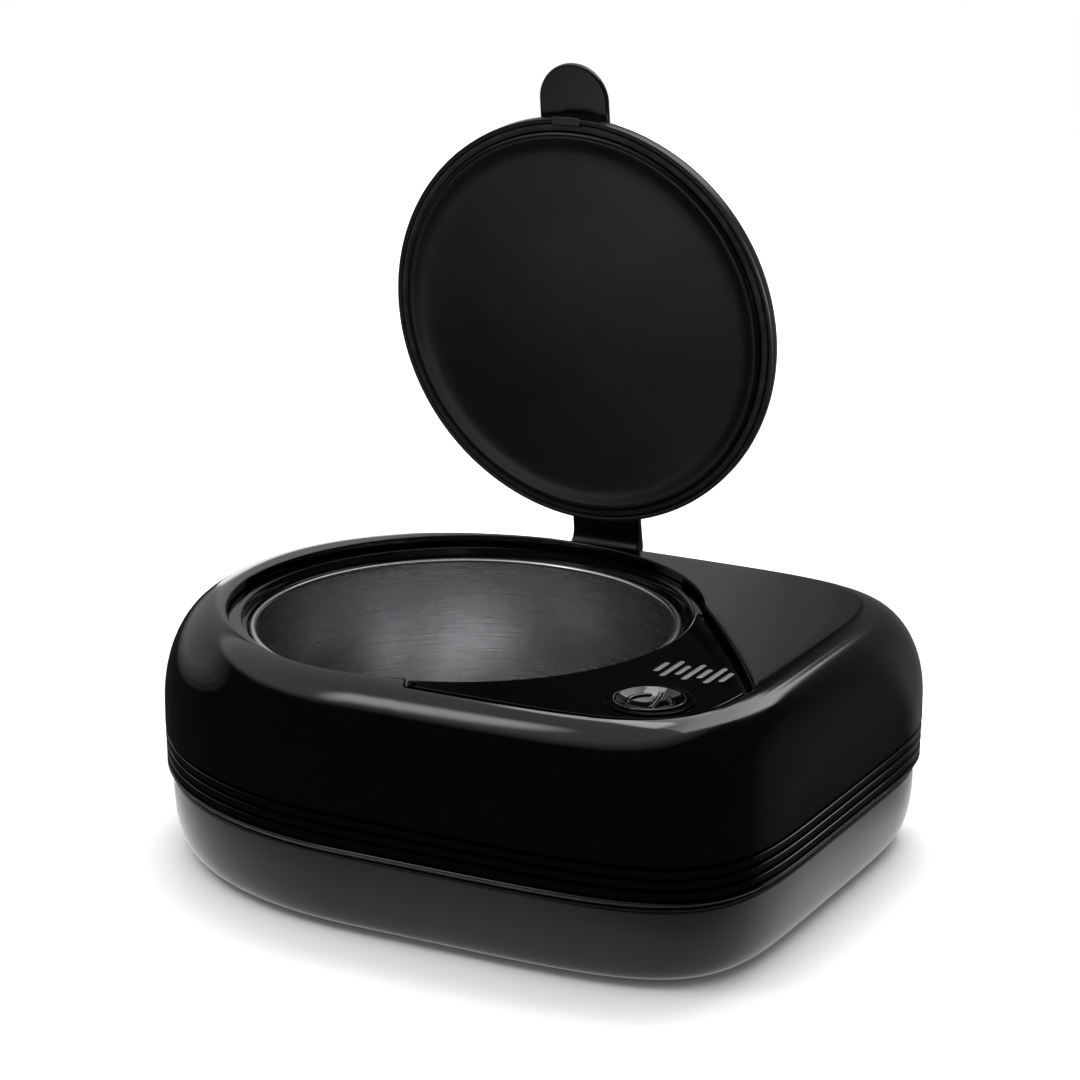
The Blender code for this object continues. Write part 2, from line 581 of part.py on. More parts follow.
def dc_jack():
    """Barrel jack inside the back wall: body, centre pin and two leads to the board."""
    front = JACK_END_Y - 12 * MM
    body = box("dc_jack", (JACK_X - 4.4 * MM, front, JACK_Z - 4.3 * MM),
               (JACK_X + 4.4 * MM, JACK_END_Y, JACK_Z + 4.5 * MM), SATIN_BLACK)
    cut(body, cylinder("cut_socket", (JACK_X, front + 3 * MM, JACK_Z), 2.9 * MM, 12 * MM, axis="Y"),
        cylinder("cut_pin_root", (JACK_X, front + MM, JACK_Z), 1.3 * MM, 4 * MM, axis="Y", segments=12))
    cylinder("dc_jack_pin", (JACK_X, front + 1.4 * MM, JACK_Z), 1.0 * MM, 9.6 * MM, STEEL, axis="Y",
             segments=12)
    for name, x, mat in (("dc_lead_red", 38.9, WIRE_RED), ("dc_lead_black", 41.5, WIRE_BLACK)):
        wire(name, [(x, 37.8, 11.0), (x, 36.9, 11.4), (x, 35.2, 11.9), (x, 34.2, 10.9), (x, 34.0, 9.3)],
             0.55 * MM, mat)


# ---------------------------------------------------------------- lid

def hinge_frame():
    """Empty on the hinge axis: lid pieces are drawn shut around it, then it is turned."""
    frame = bpy.data.objects.new("hinge_axis", None)
    frame.location = (0, HINGE_Y, HINGE_Z)
    frame.rotation_euler = (LID_OPEN, 0, 0)
    PARTS.objects.link(frame)
    return frame


def onto_lid(frame, *objects):
    """Hang pieces drawn in the shut position on the hinge axis."""
    for obj in objects:
        obj.location -= frame.location
        obj.parent = frame


def neck_outline():
    """Side view of the hinge arm, shut: from the rim over the housing to the knuckle."""
    points = [(38.9, 49.2), (40.9, 48.8), (45.2, 48.8), (46.6, 48.4), (47.4, 47.6), (47.8, 46.7)]
    knuckle_r, y0, z0 = KNUCKLE_R / MM, HINGE_Y / MM, HINGE_Z / MM
    for degrees in range(120, 361, 15):
        angle = math.radians(degrees)
        points.append((y0 + knuckle_r * math.cos(angle), z0 + knuckle_r * math.sin(angle)))
    for degrees in range(10, 91, 16):
        angle = math.radians(degrees)
        points.append((47.1 + 6.0 * math.cos(angle), 44.0 + 6.9 * math.sin(angle)))
    return points + [(38.9, 50.3)]


def lid():
    frame = hinge_frame()
    centre = (TANK_X, TANK_Y, 0)
    dish = [(0, 51.0), (18, 50.9), (31, 50.6), (38, 50.25), (40.6, 49.7), (41.9, 48.6),
            (42.3, 47.2), (42.3, 45.9), (42.0, 45.6), (41.5, 45.6), (41.2, 45.9), (41.2, 47.7),
            (39.6, 48.7), (34, 49.1), (0, 49.6)]
    shell = turned("lid_shell", dish, centre, GLOSS_BLACK)

    neck = loft("add_neck", [[(x, y * MM, z * MM) for y, z in neck_outline()]
                             for x in (NECK_X - NECK_WIDTH / 2, NECK_X + NECK_WIDTH / 2)])
    radius = TAB_WIDTH / 2
    round_end = TAB_REACH - radius
    tab_outline = [(TAB_X + radius, TANK_Y - 36 * MM), (TAB_X - radius, TANK_Y - 36 * MM)]
    for step in range(13):
        angle = math.pi + math.pi * step / 12
        tab_outline.append((TAB_X + radius * math.cos(angle),
                            TANK_Y - round_end + radius * math.sin(angle)))
    tab = prism("add_tab", tab_outline, 48.75 * MM, 50.1 * MM)
    catch = box("add_catch", (TAB_X - 3.2 * MM, TANK_Y - 42.5 * MM, 45.25 * MM),
                (TAB_X + 3.2 * MM, TANK_Y - 41.3 * MM, 47.0 * MM))
    bore = cylinder("cut_knuckle_bore", (NECK_X - 12 * MM, HINGE_Y, HINGE_Z), PIN_R + GAP, 24 * MM,
                    axis="X")

    seal = turned("lid_seal", [(40.9, 47.3), (40.9, 45.6), (40.4, 45.2), (39.95, 45.6), (39.95, 47.3)],
                  centre, SILICONE, closed=True, steps=40)
    plug = [(0, 46.9), (38.4, 46.9), (38.4, 48.2), (39.65, 48.2), (39.65, 45.6), (39.35, 45.0),
            (38.7, 44.7), (38.1, 44.8), (37.0, 45.4), (35.5, 45.75), (0, 45.9)]
    liner = turned("lid_liner", plug, centre, SATIN_BLACK)

    onto_lid(frame, shell, neck, tab, catch, bore, seal, liner)
    cut(join(shell, neck, tab, catch), bore)
    cylinder("hinge_pin", (NECK_X - NECK_WIDTH / 2 - 2.6 * MM, HINGE_Y, HINGE_Z), PIN_R,
             NECK_WIDTH + 5.2 * MM, STEEL, axis="X")


def rating_plate():
    box("rating_plate", (-20 * MM, -12 * MM, FOOT_HEIGHT), (20 * MM, 12 * MM, 1.6 * MM), LABEL)


upper_housing()
lower_housing()
feet()
screws()
control_bezel()
tank()
transducer()
power_button()
control_electronics()
main_board()
dc_jack()
lid()
rating_plate()
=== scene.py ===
"""The ultrasonic cleaner, dressed for its picture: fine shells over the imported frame.

Metres, +Z up, in the frame's own coordinates: -Y is the front and the lid stands open at
the back. Lid pieces are drawn shut, then turned about the hinge with the rest angle.
"""
import json
import math

import bmesh
import bpy
import numpy as np
from mathutils import Matrix, Vector


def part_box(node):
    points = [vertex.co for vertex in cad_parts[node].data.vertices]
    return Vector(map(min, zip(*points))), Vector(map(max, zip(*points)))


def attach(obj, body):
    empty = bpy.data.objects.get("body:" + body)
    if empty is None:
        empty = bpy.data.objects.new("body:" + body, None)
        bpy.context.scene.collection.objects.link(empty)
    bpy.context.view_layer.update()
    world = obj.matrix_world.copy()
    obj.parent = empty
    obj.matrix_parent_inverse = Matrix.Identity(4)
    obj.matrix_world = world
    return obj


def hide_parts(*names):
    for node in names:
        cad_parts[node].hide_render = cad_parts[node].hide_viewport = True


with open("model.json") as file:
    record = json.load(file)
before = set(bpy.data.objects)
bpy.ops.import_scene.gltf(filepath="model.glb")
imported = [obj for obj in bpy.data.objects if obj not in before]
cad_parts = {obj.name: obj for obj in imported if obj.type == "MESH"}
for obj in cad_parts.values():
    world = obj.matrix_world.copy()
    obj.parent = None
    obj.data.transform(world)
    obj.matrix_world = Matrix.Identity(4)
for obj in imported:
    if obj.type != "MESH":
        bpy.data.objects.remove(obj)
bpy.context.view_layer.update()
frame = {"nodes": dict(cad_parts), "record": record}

MM = 0.001

# Places and sizes read from the frame
SHELL_LO, SHELL_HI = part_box("upper_housing")
TRAY_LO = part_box("lower_housing")[0]
TANK_LO, TANK_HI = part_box("tank")
RING_LO, RING_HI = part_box("button_ring")
PIN_LO, PIN_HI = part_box("hinge_pin")
PLATE_LO, PLATE_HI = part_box("rating_plate")

KEEP_INSIDE = 0.005 * MM            # the fine shell stays this much inside the CAD box
HALF_WIDTH = min(SHELL_HI[0], -SHELL_LO[0]) - KEEP_INSIDE
HALF_DEPTH = (SHELL_HI[1] - SHELL_LO[1]) / 2
TOP_Z = SHELL_HI[2]
SEAM_Z = SHELL_LO[2]
TANK_X = (TANK_LO[0] + TANK_HI[0]) / 2
TANK_Y = (TANK_LO[1] + TANK_HI[1]) / 2
BUTTON_X = (RING_LO[0] + RING_HI[0]) / 2
BUTTON_Y = (RING_LO[1] + RING_HI[1]) / 2
HINGE_Y = (PIN_LO[1] + PIN_HI[1]) / 2
HINGE_Z = (PIN_LO[2] + PIN_HI[2]) / 2
NECK_X = (PIN_LO[0] + PIN_HI[0]) / 2

# Shape of the body: superellipse quarters that meet at an offset centre
OFFSET_X, OFFSET_Y = -5.6 * MM, 2.2 * MM
SQUARENESS_RIGHT, SQUARENESS_LEFT = 5.5, 2.15
EDGE_RUN, EDGE_DROP = 11.0 * MM, 18.6 * MM
GROOVES_TOP_Z = 24.6 * MM
GROOVES = 4
GROOVE, RIB = 0.8 * MM, 1.25 * MM
GROOVE_DEPTH = 0.8 * MM

# Bezel recess: a circle round the bath and a leaf for the controls
RECESS_R = 45.8 * MM
LEAF_INSET_FRONT, LEAF_INSET_RIGHT = 8.3 * MM, 10.1 * MM
LEAF_TIP = math.radians(-73.9)
LEAF_CORNER = Vector((59.7 * MM, -21.1 * MM))
LEAF_ROOT = Vector((30.8 * MM, 19.1 * MM))
LEAF_BOW = 0.8 * MM
LEDGE_Z = 45.75 * MM
LEDGE_WIDTH = 1.5 * MM
ROOF_Z = 44.3 * MM                  # underside of the shell's top
HINGE_BLOCK_Z = 36.4 * MM           # the shell is solid above this round the hinge
RECESS_LIP = 0.3 * MM
AROUND = 384                        # points round the fine shells
SHARP = 32                          # edges steeper than this many degrees stay sharp

# Bezel, in mm: the ring lies lower than the leaf, and a rebate runs along the leaf
BEZEL_RING_Z, LEAF_STEP = 46.6, 0.9
REBATE_Z, RING_GAP, LEAF_GAP = 46.3, 0.1, 1.4

# Controls
BARS = 7
BARS_X, BARS_Y = 45.0 * MM, -15.2 * MM
BAR_WIDTH = 1.1 * MM
BAR_PITCH = 2.17 * MM
BAR_LENGTHS = (5.6 * MM, 9.4 * MM)
BAR_CLEARANCE = 0.12 * MM
BUTTON_HOLE_R = 7.75 * MM
BOWL_R, BOWL_Z, BOWL_DEPTH = 5.9, 46.35, 1.75                       # mm
SIGN_R, SIGN_HALF_WIDTH, SIGN_HEIGHT = 4.05, 0.42, 0.34             # mm

# Lid, drawn shut, and the slot that its arm runs in
LID_ANGLE = math.radians(-83.7)
LID_STEPS = 240                     # points round the turned lid pieces
NECK_WIDTH = 15.2 * MM
KNUCKLE_R = 3.4                     # mm
SLOT_FRONT_Y, SLOT_FLOOR_Z = 45.9 * MM, 38.9 * MM
PAST_THE_SHELL = 61 * MM
TAB_X = TANK_X - 0.8 * MM
TAB_WIDTH = 15.0 * MM
TAB_REACH = 52.4 * MM
SLOT_CLEARANCE = 0.4 * MM

# Camera and light
AIM = Vector((5.3 * MM, 0.0, 62.9 * MM))
AZIMUTH, ELEVATION = math.radians(28.085), math.radians(16.457)
DISTANCE = 639.7 * MM
LENS_MM, SENSOR_MM = 112.79, 36.0
WORLD_PALE, WORLD_DARK = 0.42, 0.022            # what matt surfaces and reflections see
GLOW, LID_GLOW, RIM_GLOW = 0.50, 1.2, 60.0      # panels that reach only some of the pieces
STRIP_HEIGHT = 1.0                              # of the strips of light, above the table
FLOOR_R = 0.85


# ---------------------------------------------------------------- camera, floor, light

def camera():
    """Long lens, a little above the front right corner."""
    data = bpy.data.cameras.new("camera")
    data.lens = LENS_MM
    data.sensor_width = SENSOR_MM
    data.clip_start, data.clip_end = 0.01, 50
    obj = bpy.data.objects.new("camera", data)
    away = Vector((math.sin(AZIMUTH) * math.cos(ELEVATION),
                   -math.cos(AZIMUTH) * math.cos(ELEVATION), math.sin(ELEVATION)))
    obj.location = AIM + away * DISTANCE
    obj.rotation_euler = away.to_track_quat("Z", "Y").to_euler()
    bpy.context.scene.collection.objects.link(obj)
    bpy.context.scene.camera = obj


def direction(azimuth, elevation):
    """Unit vector: azimuth 0 is the back (+Y), positive to the right."""
    azimuth, elevation = math.radians(azimuth), math.radians(elevation)
    return Vector((math.sin(azimuth) * math.cos(elevation),
                   math.cos(azimuth) * math.cos(elevation), math.sin(elevation)))


def panel(name, place, turned_to, width, height, radiance, shape="RECTANGLE"):
    """Light panel turned towards a point; sizes in metres, radiance as it looks."""
    data = bpy.data.lights.new(name, "AREA")
    data.shape = shape
    data.size, data.size_y = width, height
    area = width * height * (math.pi / 4 if shape == "ELLIPSE" else 1.0)
    data.energy = radiance * math.pi * area
    obj = bpy.data.objects.new(name, data)
    obj.location = place
    obj.rotation_euler = (Vector(place) - Vector(turned_to)).to_track_quat("Z", "Y").to_euler()
    obj.visible_camera = False
    bpy.context.scene.collection.objects.link(obj)
    return obj


def ceiling(name, low, high, height, radiance):
    """Panel that faces straight down between two corners in plan."""
    x, y = (low[0] + high[0]) / 2, (low[1] + high[1]) / 2
    return panel(name, (x, y, height), (x, y, 0), high[0] - low[0], high[1] - low[1], radiance)


def strip(name, azimuth, near, far, width, radiance):
    """Ceiling strip that runs outwards along an azimuth."""
    out = direction(azimuth, 0)
    middle = out * (near + far) / 2 + Vector((0, 0, STRIP_HEIGHT))
    obj = panel(name, middle, middle - Vector((0, 0, 1)), width, far - near, radiance)
    obj.rotation_euler = (0, 0, -math.radians(azimuth))
    return obj


def wall(name, azimuth, elevation, spread, rise, radiance, softness=0.0, distance=1.5):
    """Oval panel that faces the object, from half angles; softness blurs its edge in steps."""
    centre = Vector((0, 0, 0.04))
    steps = 4 if softness else 1
    for step in range(steps):
        grow = 1 + softness * (step - 1.5) / 1.5 if softness else 1
        width = 2 * distance * math.tan(math.radians(spread * grow))
        height = 2 * distance * math.tan(math.radians(rise * grow))
        place = centre + direction(azimuth, elevation) * (distance + 0.01 * step)
        panel(name, place, centre, width, height, radiance / steps, "ELLIPSE")


LINKED = []


def only(light, *names):
    """Note that a light reaches just the named pieces."""
    LINKED.append((light, names))


def link_lights():
    """Bind the noted lights once their pieces exist."""
    for light, names in LINKED:
        group = bpy.data.collections.new(light.name + "_pieces")
        for name in names:
            group.objects.link(bpy.data.objects[name])
        light.light_linking.receiver_collection = group


def surroundings():
    """White to the camera, pale to matt surfaces, dark in reflections."""
    world = bpy.data.worlds.new("studio")
    bpy.context.scene.world = world
    world.use_nodes = True
    nodes, links = world.node_tree.nodes, world.node_tree.links
    nodes.clear()
    path = nodes.new("ShaderNodeLightPath")

    def background(strength):
        node = nodes.new("ShaderNodeBackground")
        node.inputs["Color"].default_value = (1, 1, 1, 1)
        node.inputs["Strength"].default_value = strength
        return node.outputs[0]

    matt = nodes.new("ShaderNodeMixShader")
    links.new(path.outputs["Is Glossy Ray"], matt.inputs["Fac"])
    links.new(background(WORLD_PALE), matt.inputs[1])
    links.new(background(WORLD_DARK), matt.inputs[2])
    seen = nodes.new("ShaderNodeMixShader")
    links.new(path.outputs["Is Camera Ray"], seen.inputs["Fac"])
    links.new(matt.outputs[0], seen.inputs[1])
    links.new(background(1.0), seen.inputs[2])
    output = nodes.new("ShaderNodeOutputWorld")
    links.new(seen.outputs[0], output.inputs["Surface"])


def studio():
    """Dark studio round a white table: a few panels draw the highlights."""
    surroundings()
    glow = panel("table_glow", (0.006, -0.008, 0.4 * MM), (0.006, -0.008, 1), 0.185, 0.17, GLOW,
                 "ELLIPSE")
    only(glow, "base_tray")
    lid_light = panel("lid_light", (-0.06, -0.13, 0.06), (0, 0.05, 0.13), 0.10, 0.06, LID_GLOW)
    only(lid_light, "lid_inner", "lid_tab", "lid_catch", "lid_rim")
    table_light = ceiling("table_light", (-1.1, -1.1), (1.1, 1.1), 1.6, 1.08)
    table_light.visible_glossy = False
    only(table_light, "floor", "base_tray")
    rim_light = panel("rim_light", (0.30, -0.05, 0.12), (0.03, 0.055, 0.10), 0.12, 0.12, RIM_GLOW)
    only(rim_light, "lid_rim", "lid_cover")
    x, y = -0.80, 0.20
    for step in range(4):                               # four ovals in one another: a soft edge
        grow = 0.90 + 0.07 * step
        panel("overhead", (x, y, 1.05 + 0.01 * step), (x, y, 0), 2.24 * grow, 2.30 * grow, 0.19,
              "ELLIPSE")
    for step in range(8):                               # a fan that brightens to the right
        strip("key", -20 + 5.2 * step, 0.2, 0.6 + 0.18 * step, 0.34, 1.35 + 0.30 * step)
    ceiling("key_left", (-0.46, 0.13), (-0.02, 0.42), 0.99, 4.5)
    wall("front_left", -133, 52, 4.5, 10, 4.6, 0.35)
    wall("back_left", -62, 14, 33, 17, 0.38, 0.2)
    wall("back", -30, 15, 10, 14, 0.22, 0.2)
    wall("backdrop", -37, 2, 5.5, 10, 1.8)
    wall("back_right", 4, 4, 24, 26, 0.15, 0.08)
    wall("right", 40, -6, 20, 20, 0.06, 0.3)
    bpy.context.scene.view_settings.view_transform = "Standard"


def floor():
    """Round white table top, bright enough to melt into the surroundings."""
    bpy.ops.mesh.primitive_circle_add(vertices=128, radius=FLOOR_R, fill_type="NGON",
                                      location=(0, 0, 0))
    plane = bpy.context.active_object
    plane.name = "floor"
    plane.visible_glossy = False
    mat = bpy.data.materials.new("floor_white")
    mat.use_nodes = True
    shader = mat.node_tree.nodes["Principled BSDF"]
    shader.inputs["Base Color"].default_value = (0.95, 0.95, 0.95, 1)
    shader.inputs["Roughness"].default_value = 0.9
    shader.inputs["Specular IOR Level"].default_value = 0.0
    plane.data.materials.append(mat)


# ---------------------------------------------------------------- material helpers

class Nodes:
    """Short-hand for building one material's node tree."""

    def __init__(self, name, colour, roughness, metallic=0.0):
        self.material = bpy.data.materials.new(name)
        self.material.use_nodes = True
        self.tree = self.material.node_tree
        self.shader = self.tree.nodes["Principled BSDF"]
        self.set("Base Color", (*colour, 1.0))
        self.set("Roughness", roughness)
        self.set("Metallic", metallic)
        self.coordinates = self.add("ShaderNodeTexCoord").outputs["Object"]

    def set(self, socket, value):
        self.shader.inputs[socket].default_value = value

    def add(self, kind, **settings):
        node = self.tree.nodes.new(kind)
        for key, value in settings.items():
            setattr(node, key, value)
        return node

    def link(self, output, socket):
        self.tree.links.new(output, socket)

    def stretched(self, scale):
        """Object coordinates stretched by three factors."""
        mapping = self.add("ShaderNodeMapping")
        mapping.inputs["Scale"].default_value = scale
        self.link(self.coordinates, mapping.inputs["Vector"])
        return mapping.outputs["Vector"]

    def noise(self, scale, detail=3.0, roughness=0.5, vector=None):
        node = self.add("ShaderNodeTexNoise")
        node.inputs["Scale"].default_value = scale
        node.inputs["Detail"].default_value = detail
        node.inputs["Roughness"].default_value = roughness
        self.link(vector or self.coordinates, node.inputs["Vector"])
        return node.outputs["Fac"]

    def span(self, value, low, high, from_low=0.3, from_high=0.7):
        """Map a noise value onto a range."""
        node = self.add("ShaderNodeMapRange")
        node.inputs["From Min"].default_value = from_low
        node.inputs["From Max"].default_value = from_high
        node.inputs["To Min"].default_value = low
        node.inputs["To Max"].default_value = high
        self.link(value, node.inputs["Value"])
        return node.outputs["Result"]

    def blend(self, factor, first, second):
        """Colour between two colours."""
        node = self.add("ShaderNodeMix", data_type="RGBA")
        node.inputs[6].default_value = (*first, 1.0)
        node.inputs[7].default_value = (*second, 1.0)
        self.link(factor, node.inputs["Factor"])
        return node.outputs[2]

    def colour(self, output):
        self.link(output, self.shader.inputs["Base Color"])

    def roughness(self, output):
        self.link(output, self.shader.inputs["Roughness"])

    def bump(self, height, strength, distance=0.1 * MM, below=None):
        node = self.add("ShaderNodeBump")
        node.inputs["Strength"].default_value = strength
        node.inputs["Distance"].default_value = distance
        self.link(height, node.inputs["Height"])
        if below is not None:
            self.link(below, node.inputs["Normal"])
        self.link(node.outputs["Normal"], self.shader.inputs["Normal"])
        return node.outputs["Normal"]


def gloss_plastic(name, colour=(0.0005, 0.0005, 0.0006), low=0.07, high=0.12):
    """Polished black moulding: faint orange peel, hazy patches and a few fine specks."""
    n = Nodes(name, colour, low)
    n.roughness(n.span(n.noise(90, 4), low, high))
    specks = n.span(n.noise(2600, 1.0), 0.0, 1.0, 0.70, 0.74)
    n.colour(n.blend(specks, colour, (0.006, 0.006, 0.0065)))
    n.bump(n.noise(260, 2), 0.012, 0.2 * MM)
    return n.material


def satin_plastic(name, colour, low, high, grain=0.10, scale=5200, bloom=0.0):
    """Spark-eroded moulding: fine even grain, and a bloom where it turns away."""
    n = Nodes(name, colour, low)
    n.set("Sheen Weight", bloom)
    n.set("Sheen Roughness", 0.32)
    n.roughness(n.span(n.noise(70, 4), low, high))
    lighter = tuple(c * 1.5 + 0.001 for c in colour)
    n.colour(n.blend(n.span(n.noise(45, 5), 0.0, 1.0), colour, lighter))
    n.bump(n.noise(scale, 2), grain, 0.03 * MM)
    return n.material


def drawn_steel(name):
    """Deep-drawn and polished stainless: rings left by polishing, faint upright draw marks."""
    n = Nodes(name, (0.60, 0.60, 0.61), 0.2, 1.0)
    rings = n.noise(60, 4, 0.6, n.stretched((1.0, 1.0, 45.2)))
    marks = n.noise(420, 3, 0.5, n.stretched((1.0, 1.0, 0.06)))
    n.roughness(n.span(rings, 0.20, 0.30))
    n.colour(n.blend(n.span(n.noise(60, 4), 0.0, 1.0), (0.52, 0.52, 0.535), (0.66, 0.66, 0.67)))
    first = n.bump(rings, 0.012, 0.05 * MM)
    n.bump(marks, 0.008, 0.03 * MM, first)
    return n.material


def plated_steel(name):
    """Zinc-plated fasteners: uneven gloss and colour."""
    n = Nodes(name, (0.52, 0.52, 0.53), 0.3, 1.0)
    n.roughness(n.span(n.noise(900, 4), 0.22, 0.42))
    n.colour(n.blend(n.span(n.noise(500, 4), 0, 1), (0.42, 0.42, 0.43), (0.60, 0.60, 0.60)))
    n.bump(n.noise(3000, 2), 0.06, 0.03 * MM)
    return n.material


def aluminium(name):
    """Drawn aluminium with fine upright lines."""
    n = Nodes(name, (0.66, 0.67, 0.69), 0.35, 1.0)
    lines = n.noise(900, 3, 0.5, n.stretched((1.0, 1.0, 0.02)))
    n.roughness(n.span(lines, 0.28, 0.45))
    n.bump(lines, 0.08, 0.03 * MM)
    return n.material


def soft_rubber(name, colour=(0.012, 0.012, 0.012)):
    """Dull, dark rubber or silicone with a coarse grain."""
    n = Nodes(name, colour, 0.65)
    n.roughness(n.span(n.noise(700, 4), 0.55, 0.8))
    n.colour(n.blend(n.span(n.noise(300, 4), 0, 1), colour, (0.022, 0.022, 0.022)))
    n.bump(n.noise(2600, 3), 0.15, 0.05 * MM)
    return n.material


def frosted_guide(name):
    """Frosted light guide, pale grey while it is off."""
    n = Nodes(name, (0.17, 0.174, 0.182), 0.35)
    n.set("Subsurface Weight", 0.25)
    n.set("Subsurface Radius", (0.001, 0.001, 0.001))
    n.set("Subsurface Scale", 0.6)
    n.roughness(n.span(n.noise(900, 3), 0.28, 0.45))
    n.colour(n.blend(n.span(n.noise(500, 3), 0, 1), (0.15, 0.154, 0.162), (0.19, 0.194, 0.202)))
    n.bump(n.noise(3800, 2), 0.05, 0.03 * MM)
    return n.material


def circuit_board(name):
    """Green solder mask with faint copper runs under it."""
    n = Nodes(name, (0.02, 0.13, 0.05), 0.4)
    runs = n.add("ShaderNodeTexBrick")
    runs.inputs["Scale"].default_value = 260
    runs.inputs["Mortar Size"].default_value = 0.03
    n.link(n.coordinates, runs.inputs["Vector"])
    n.colour(n.blend(runs.outputs["Fac"], (0.015, 0.11, 0.04), (0.05, 0.20, 0.07)))
    n.roughness(n.span(n.noise(300, 4), 0.3, 0.5))
    n.bump(runs.outputs["Fac"], 0.1, 0.03 * MM)
    return n.material


def mottled(name, first, second, low, high, metallic=0.0, scale=400, grain=0.1):
    """Small parts: two close colours, uneven gloss and a fine grain."""
    n = Nodes(name, first, low, metallic)
    n.colour(n.blend(n.span(n.noise(scale, 4), 0, 1), first, second))
    n.roughness(n.span(n.noise(scale * 2, 4), low, high))
    n.bump(n.noise(scale * 6, 2), grain, 0.04 * MM)
    return n.material


def wound_copper(name):
    """Enamelled wire wound side by side."""
    n = Nodes(name, (0.55, 0.20, 0.08), 0.3, 0.9)
    turns = n.add("ShaderNodeTexWave", bands_direction="Z")
    turns.inputs["Scale"].default_value = 900
    turns.inputs["Distortion"].default_value = 1.5
    n.link(n.coordinates, turns.inputs["Vector"])
    n.colour(n.blend(turns.outputs["Fac"], (0.36, 0.11, 0.04), (0.66, 0.27, 0.12)))
    n.roughness(n.span(n.noise(600, 3), 0.2, 0.4))
    n.bump(turns.outputs["Fac"], 0.5, 0.15 * MM)
    return n.material


# ---------------------------------------------------------------- mesh helpers

def skin(name, rows, mat, loop=False, caps=(False, False), sharp=SHARP):
    """Surface through rows of points of equal length, each row closed on itself."""
    count = len(rows[0])
    points = np.concatenate(rows)
    faces = []
    pairs = list(zip(range(len(rows) - 1), range(1, len(rows))))
    if loop:
        pairs.append((len(rows) - 1, 0))
    for low, high in pairs:
        for i in range(count):
            j = (i + 1) % count
            faces.append((low * count + i, low * count + j,
                          high * count + j, high * count + i))
    if caps[0]:
        faces.append(tuple(range(count - 1, -1, -1)))
    if caps[1]:
        start = (len(rows) - 1) * count
        faces.append(tuple(range(start, start + count)))
    mesh = bpy.data.meshes.new(name)
    mesh.from_pydata([tuple(p) for p in points], [], faces)
    return finish_mesh(name, mesh, mat, sharp)


def linked(name, mesh):
    """New object in the scene."""
    obj = bpy.data.objects.new(name, mesh)
    bpy.context.scene.collection.objects.link(obj)
    return obj


def to_mesh(name, bm):
    """Mesh from an edit mesh, which is freed."""
    mesh = bpy.data.meshes.new(name)
    bm.to_mesh(mesh)
    bm.free()
    return mesh


def finish_mesh(name, mesh, mat, sharp=SHARP):
    """Welded, smooth-shaded object with its normals outwards."""
    bm = bmesh.new()
    bm.from_mesh(mesh)
    bmesh.ops.remove_doubles(bm, verts=bm.verts, dist=1e-7)
    bmesh.ops.recalc_face_normals(bm, faces=bm.faces)
    bm.to_mesh(mesh)
    bm.free()
    mesh.shade_smooth()
    mesh.set_sharp_from_angle(angle=math.radians(sharp))
    if mat is not None:
        mesh.materials.append(mat)
    return linked(name, mesh)


def lathe(name, profile, mat, centre=(TANK_X, TANK_Y), steps=160, sharp=SHARP):
    """Turned surface from (radius, height) points in mm, about a vertical axis."""
    turn = np.linspace(0, 2 * math.pi, steps, endpoint=False)
    rows = []
    for radius, z in profile:
        r = max(radius, 0.0) * MM
        rows.append(np.stack([centre[0] + r * np.cos(turn), centre[1] + r * np.sin(turn),
                              np.full(steps, z * MM)], axis=1))
    return skin(name, rows, mat, sharp=sharp)


def slab(name, outline, lows, highs, mat, bevel=0.35 * MM, axis="Z", segments=3):
    """Plate with rounded edges: an outline extruded along Z, or along X from (y, z) points."""
    bm = bmesh.new()
    rows = []
    for level in (lows, highs):
        if axis == "Z":
            rows.append([bm.verts.new((a, b, level)) for a, b in outline])
        else:
            rows.append([bm.verts.new((level, a, b)) for a, b in outline])
    count = len(outline)
    bm.faces.new(list(reversed(rows[0])))
    bm.faces.new(rows[1])
    for i in range(count):
        j = (i + 1) % count
        bm.faces.new((rows[0][i], rows[0][j], rows[1][j], rows[1][i]))
    bmesh.ops.recalc_face_normals(bm, faces=bm.faces)
    obj = finish_mesh(name, to_mesh(name, bm), mat)
    rounding = obj.modifiers.new("rounding", "BEVEL")
    rounding.width = bevel
    rounding.segments = segments
    rounding.limit_method = "ANGLE"
    rounding.angle_limit = math.radians(40)
    rounding.harden_normals = True
    return obj


def apply_modifiers(obj):
    """Bake the modifiers into the mesh."""
    graph = bpy.context.evaluated_depsgraph_get()
    baked = bpy.data.meshes.new_from_object(obj.evaluated_get(graph))
    obj.modifiers.clear()
    obj.data = baked
    return obj


def carve(obj, *cutters, sharp=SHARP):
    """Cut shapes out of a closed piece, then even out its shading."""
    for cutter in cutters:
        modifier = obj.modifiers.new("carve", "BOOLEAN")
        modifier.operation = "DIFFERENCE"
        modifier.solver = "EXACT"
        modifier.object = cutter
    apply_modifiers(obj)
    for cutter in cutters:
        bpy.data.objects.remove(cutter, do_unlink=True)
    obj.data.shade_smooth()
    obj.data.set_sharp_from_angle(angle=math.radians(sharp))
    weighted = obj.modifiers.new("weighted", "WEIGHTED_NORMAL")
    weighted.keep_sharp = True
    weighted.weight = 80
    return obj


def block(name, low, high):
    """Box used for cutting."""
    bm = bmesh.new()
    bmesh.ops.create_cube(bm, size=1.0)
    low, high = Vector(low), Vector(high)
    bmesh.ops.scale(bm, vec=high - low, verts=bm.verts)
    bmesh.ops.translate(bm, vec=(low + high) / 2, verts=bm.verts)
    return linked(name, to_mesh(name, bm))


